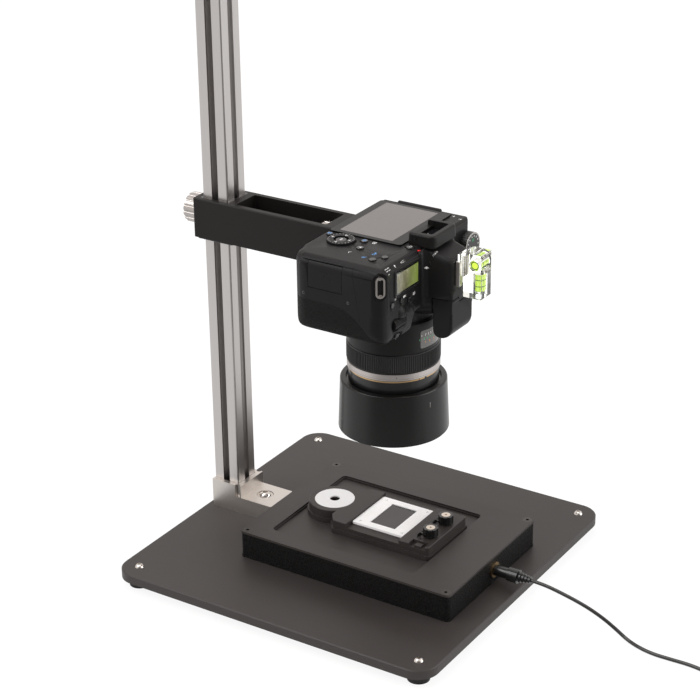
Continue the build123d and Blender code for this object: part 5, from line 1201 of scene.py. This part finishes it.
    def marks(self, look):
        """Printed marks: white, blue, red and green, none of them lettering."""
        white = printed_ink("white_ink", look.marks)
        blue = printed_ink("blue_ink", (0.12, 0.34, 0.72))
        # The red ink's glow is painted light: the spot is printed, not lit
        red = printed_ink("red_ink", (0.85, 0.02, 0.02), painted_glow=0.3)
        green = printed_ink("green_ink", (0.02, 0.34, 0.14))
        lens = [hoop(-0.4, 0.3, 1.3, 0.45), bar(0.9, -1.0, 1.5, 0.5, -45)]
        shell = "camera_shell"
        back = (ABOVE, TO_COLUMN)                   # how a mark on the camera's back lies
        top = ((0, -0.72, 0.70), ABOVE)             # on its slanting top edge
        front = (TO_VIEWER, ABOVE)                  # on its top
        dial_place = (46.5, -75.7, 281.5)
        for name, ink, node, place, (normal, upward), shapes in (
                ("zoom_marks_a", blue, shell, (-58.4, -40.2, 301), back,
                 lens + [bar(-0.4, 0.3, 1.0, 0.3)]),
                ("zoom_marks_b", blue, shell, (-49.6, -43.8, 301), back,
                 lens + [bar(2.6, 0.4, 1.6, 1.6)]),
                ("delete_mark", blue, "delete_button", (-31.3, 8.0, 301), back,
                 frame_mark(0, -0.2, 2.4, 2.2, 0.4) + [bar(0, 1.4, 3.0, 0.5)]),
                ("quick_mark", blue, "quick_button", (-30.7, -23.4, 301), back,
                 [hoop(0, 0, 1.5, 0.45), bar(0, 0, 0.5, 0.5)]),
                ("frame_mark_white", white, shell, (-29.6, -31.7, 301), back,
                 frame_mark(0, 0, 3.6, 2.6, 0.5) + [bar(0, 0, 2.2, 0.5)]),
                ("play_mark", white, "play_button", (-44.5, -28.0, 301.9), (ABOVE, TO_GRIP),
                 [[(-1.1, -1.2), (1.3, 0), (-1.1, 1.2)]]),
                ("hook_mark", white, shell, (-55.8, -25.0, 301), back,
                 [bar(0, 0, 2.6, 0.45, 20), bar(1.3, -0.5, 0.45, 1.6, 20)]),
                ("live_mark", white, "live_button", (-24.0, -60.6, 301.9), back,
                 frame_mark(0, 0, 2.8, 1.9, 0.4)),
                ("red_spot", red, shell, (-23.1, -67.6, 300.5), back, [dot(0, 0, 1.15)]),
                ("side_bars", white, shell, (-15.2, -77.3, 297.2),
                 ((0, -0.32, 0.95), (0, 0.95, 0.32)),
                 bars(1.3, (-2.6, 0.5), (-1.5, 0.9), (0.0, 1.1), (1.6, 0.5), (2.8, 0.9))),
                ("plane_mark", white, shell, (-18.8, -71.7, 285.1), ((-0.90, -0.44, 0), ABOVE),
                 [bar(0, 0, 3.4, 0.5), dot(0, 0, 1.0, 12)]),
                ("top_marks", white, shell, (-46.8, -67.4, 299.0), top,
                 bars(1.6, (-0.8, 0.9), (0.6, 0.9), (2.2, 0.4)) + bars(0.9, (-2.4, 0.9))),
                ("light_mark", white, shell, (-58.0, -67.2, 299.4), top,
                 [dot(0, 0, 0.8, 8), bar(0, -1.4, 0.8, 0.4)]),
                ("grid_marks", white, shell, (-67.6, -66.8, 299.4), top,
                 frame_mark(-1.6, 0, 2.2, 2.4, 0.35) + frame_mark(1.6, 0, 2.2, 2.4, 0.35)),
                ("small_hook", white, shell, (-68.6, -69.0, 296.6), top,
                 [bar(0, 0, 1.8, 0.35, 15)]),
                ("flash_mark", white, shell, (-60.3, -69.0, 273.9), front,
                 [[(-0.3, 1.6), (0.9, 1.6), (0.3, 0.3), (1.0, 0.3), (-0.6, -1.7),
                   (-0.1, -0.2), (-0.8, -0.2)]]),
                ("speed_marks", white, shell, (-46.8, -69.0, 271.0), front,
                 bars(1.7, (-1.3, 1.0), (0.2, 1.0), (1.6, 0.5))),
                ("meter_marks", white, shell, (-33.0, -69.0, 268.4), front,
                 frame_mark(0, 0, 3.0, 2.1, 0.35) + [dot(0, 0, 0.45, 8)]),
                ("far_marks", white, shell, (51.3, -55.5, 301), back,
                 [bar(0, 0, 2.4, 0.7), bar(0, 1.2, 1.2, 0.5)]),
                ("far_marks_b", white, shell, (48.2, -63.4, 301), ((0, -0.24, 0.97), TO_COLUMN),
                 [bar(0, 0, 1.8, 0.7), dot(0, 1.4, 0.5, 8)]),
                ("rear_dial_marks", white, "rear_dial", (-38.2, -6.8, 302.6), back,
                 spokes(4, 7.9, 2.3, 0.8) + spokes(4, 6.6, 1.0, 0.6)
                 + spokes(24, 10.0, 0.25, 0.9, offset=0.5)),
                ("set_mark", white, "set_button", (-38.2, -6.8, 301.9), back,
                 bars(1.6, (-1.0, 0.8), (0.2, 0.8), (1.4, 0.8))),
                ("mode_marks", white, "mode_dial", dial_place, front, spokes(14, 8.2, 0.8, 1.4)),
                ("mode_green", green, "mode_dial", dial_place, front,
                 frame_mark(0, 5.2, 2.6, 2.0, 0.5))):
            printed(name, shapes, place, normal, upward, [node], ink,
                    "camera" if node == shell else node)


class DUPLICATOR_OT_lens(Operator):
    """Lens, its rings, its front glass and its hood"""

    bl_idname = "duplicator.lens"
    bl_label = "Lens"

    def execute(self, context):
        look = context.scene.duplicator_finish
        paint(satin_coat("lens_coat", (0.0075, 0.007, 0.0068), 0.36, shine=0.26), "lens_barrel")
        paint(lens_lacquer("lens_lacquer", look.gold), "front_barrel")
        paint(satin_coat("hood_plastic", (0.0065, 0.0062, 0.006), 0.26, grain=1800.0,
                         depth=6e-6, shine=0.34), "lens_hood")
        paint(clear("lens_glass", (0.85, 0.85, 0.95), 0.01), "front_glass")
        self.focusing_ring(context.scene.duplicator_sizes)
        self.distance_scale()
        self.marks()
        return {"FINISHED"}

    def focusing_ring(self, sizes):
        """Ring with its fine ribs, from the frame's own place for it."""
        low, high = (Vector(corner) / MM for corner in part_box("focus_ring"))
        axis = LENS_AXIS / MM
        grip = satin_coat("focus_rubber", (0.009, 0.0085, 0.0085), 0.34, shine=0.5)
        base, top = low.z + 0.05, high.z - 0.05
        bore, waist, rim = 35.1, 37.3, 37.7
        band = turned("focus_band", [
            (bore, base), (waist, base), (rim, base + 0.4), (rim, base + 1.1),
            (waist, base + 1.4), (waist, top - 1.4), (rim, top - 1.1), (rim, top - 0.4),
            (waist, top), (bore, top)], 180)
        ribs = ring_of_ribs("focus_ribs", sizes.focus_ribs, 37.4 * MM, (top - base - 2.6) * MM,
                            1.1 * MM, grip)
        moved(band, (axis.x, axis.y, 0))
        moved(ribs, (axis.x, axis.y, (base + top) / 2))
        seat(joined("focusing_ring", dressed(band, grip), dressed(ribs, grip)), "focus_ring",
             "black_plastic", "focus_ring")

    def distance_scale(self):
        """Grey distance window with its plain numbers."""
        pane = Finish("distance_pane")
        sheen = pane.noise(60.0, 2.0)
        paint(pane.surface(
            Base_Color=pane.blend(sheen, (0.075, 0.072, 0.070), (0.13, 0.125, 0.12)),
            Roughness=0.1 + sheen * 0.05, Coat_Weight=0.6), "distance_window")
        axis = LENS_AXIS / MM
        for name, tint, height, turns in (
                ("scale_white", (0.85, 0.85, 0.85), 224.6, (-112, -106, -101, -97, -93, -88, -83)),
                ("scale_green", (0.05, 0.55, 0.22), 221.4, (-115, -108, -103, -98, -93, -86)),
                ("scale_orange", (0.85, 0.32, 0.08), 218.2, (-106, -99, -90))):
            ink = printed_ink(name, tint)
            for place, turn in enumerate(turns):
                angle = math.radians(turn)
                normal = Vector((math.cos(angle), math.sin(angle), 0))
                spot = normal * 37.4 + Vector((axis.x, axis.y, height))
                printed(f"{name}_{place}", DIGITS[place % len(DIGITS)], spot, normal,
                        (0, 0, -1), ["distance_window", "lens_barrel"], ink, "camera")

    def marks(self):
        """Index marks of the silver ring and the hood."""
        printed("ring_index", [dot(0, 0, 0.45, 10)], (-30.8, -51.9, 191.6), (-0.81, -0.59, 0),
                ABOVE, ["front_barrel"], printed_ink("dark_ink", (0.02, 0.02, 0.02)), "camera",
                slot="black_paint")
        printed("hood_index", [bar(0, 0, 0.7, 4.6)], (-13.1, -73.0, 166.0), (-0.32, -0.95, 0),
                ABOVE, ["lens_hood"], printed_ink("grey_ink", (0.16, 0.155, 0.15)),
                "lens_hood", slot="black_plastic")


# ---------------------------------------------------------------------------
# Panel and registration
# ---------------------------------------------------------------------------
OPERATORS = (
    DUPLICATOR_OT_stage, DUPLICATOR_OT_lead, DUPLICATOR_OT_stand, DUPLICATOR_OT_arm,
    DUPLICATOR_OT_light_box, DUPLICATOR_OT_carrier, DUPLICATOR_OT_camera, DUPLICATOR_OT_lens,
)


class DUPLICATOR_PT_build(Panel):
    """Build steps of the slide duplicator"""

    bl_idname = "DUPLICATOR_PT_build"
    bl_label = "Slide duplicator"
    bl_space_type = "VIEW_3D"
    bl_region_type = "UI"
    bl_category = "Duplicator"

    def draw(self, context):
        for operator in OPERATORS:
            self.layout.operator(operator.bl_idname)


CLASSES = (DUPLICATOR_PG_view, DUPLICATOR_PG_finish, DUPLICATOR_PG_sizes, *OPERATORS,
           DUPLICATOR_PT_build)
GROUPS = {"duplicator_view": DUPLICATOR_PG_view, "duplicator_finish": DUPLICATOR_PG_finish,
          "duplicator_sizes": DUPLICATOR_PG_sizes}


def register():
    """Register the classes and hang the settings on the scene."""
    for entry in CLASSES:
        bpy.utils.register_class(entry)
    for name, group in GROUPS.items():
        setattr(bpy.types.Scene, name, PointerProperty(type=group))


def unregister():
    """Take the settings and the classes away again."""
    for name in GROUPS:
        delattr(bpy.types.Scene, name)
    for entry in reversed(CLASSES):
        bpy.utils.unregister_class(entry)


def main():
    """Build everything in order."""
    register()
    for operator in OPERATORS:
        group, name = operator.bl_idname.split(".")
        getattr(getattr(bpy.ops, group), name)()


if __name__ == "__main__":
    main()
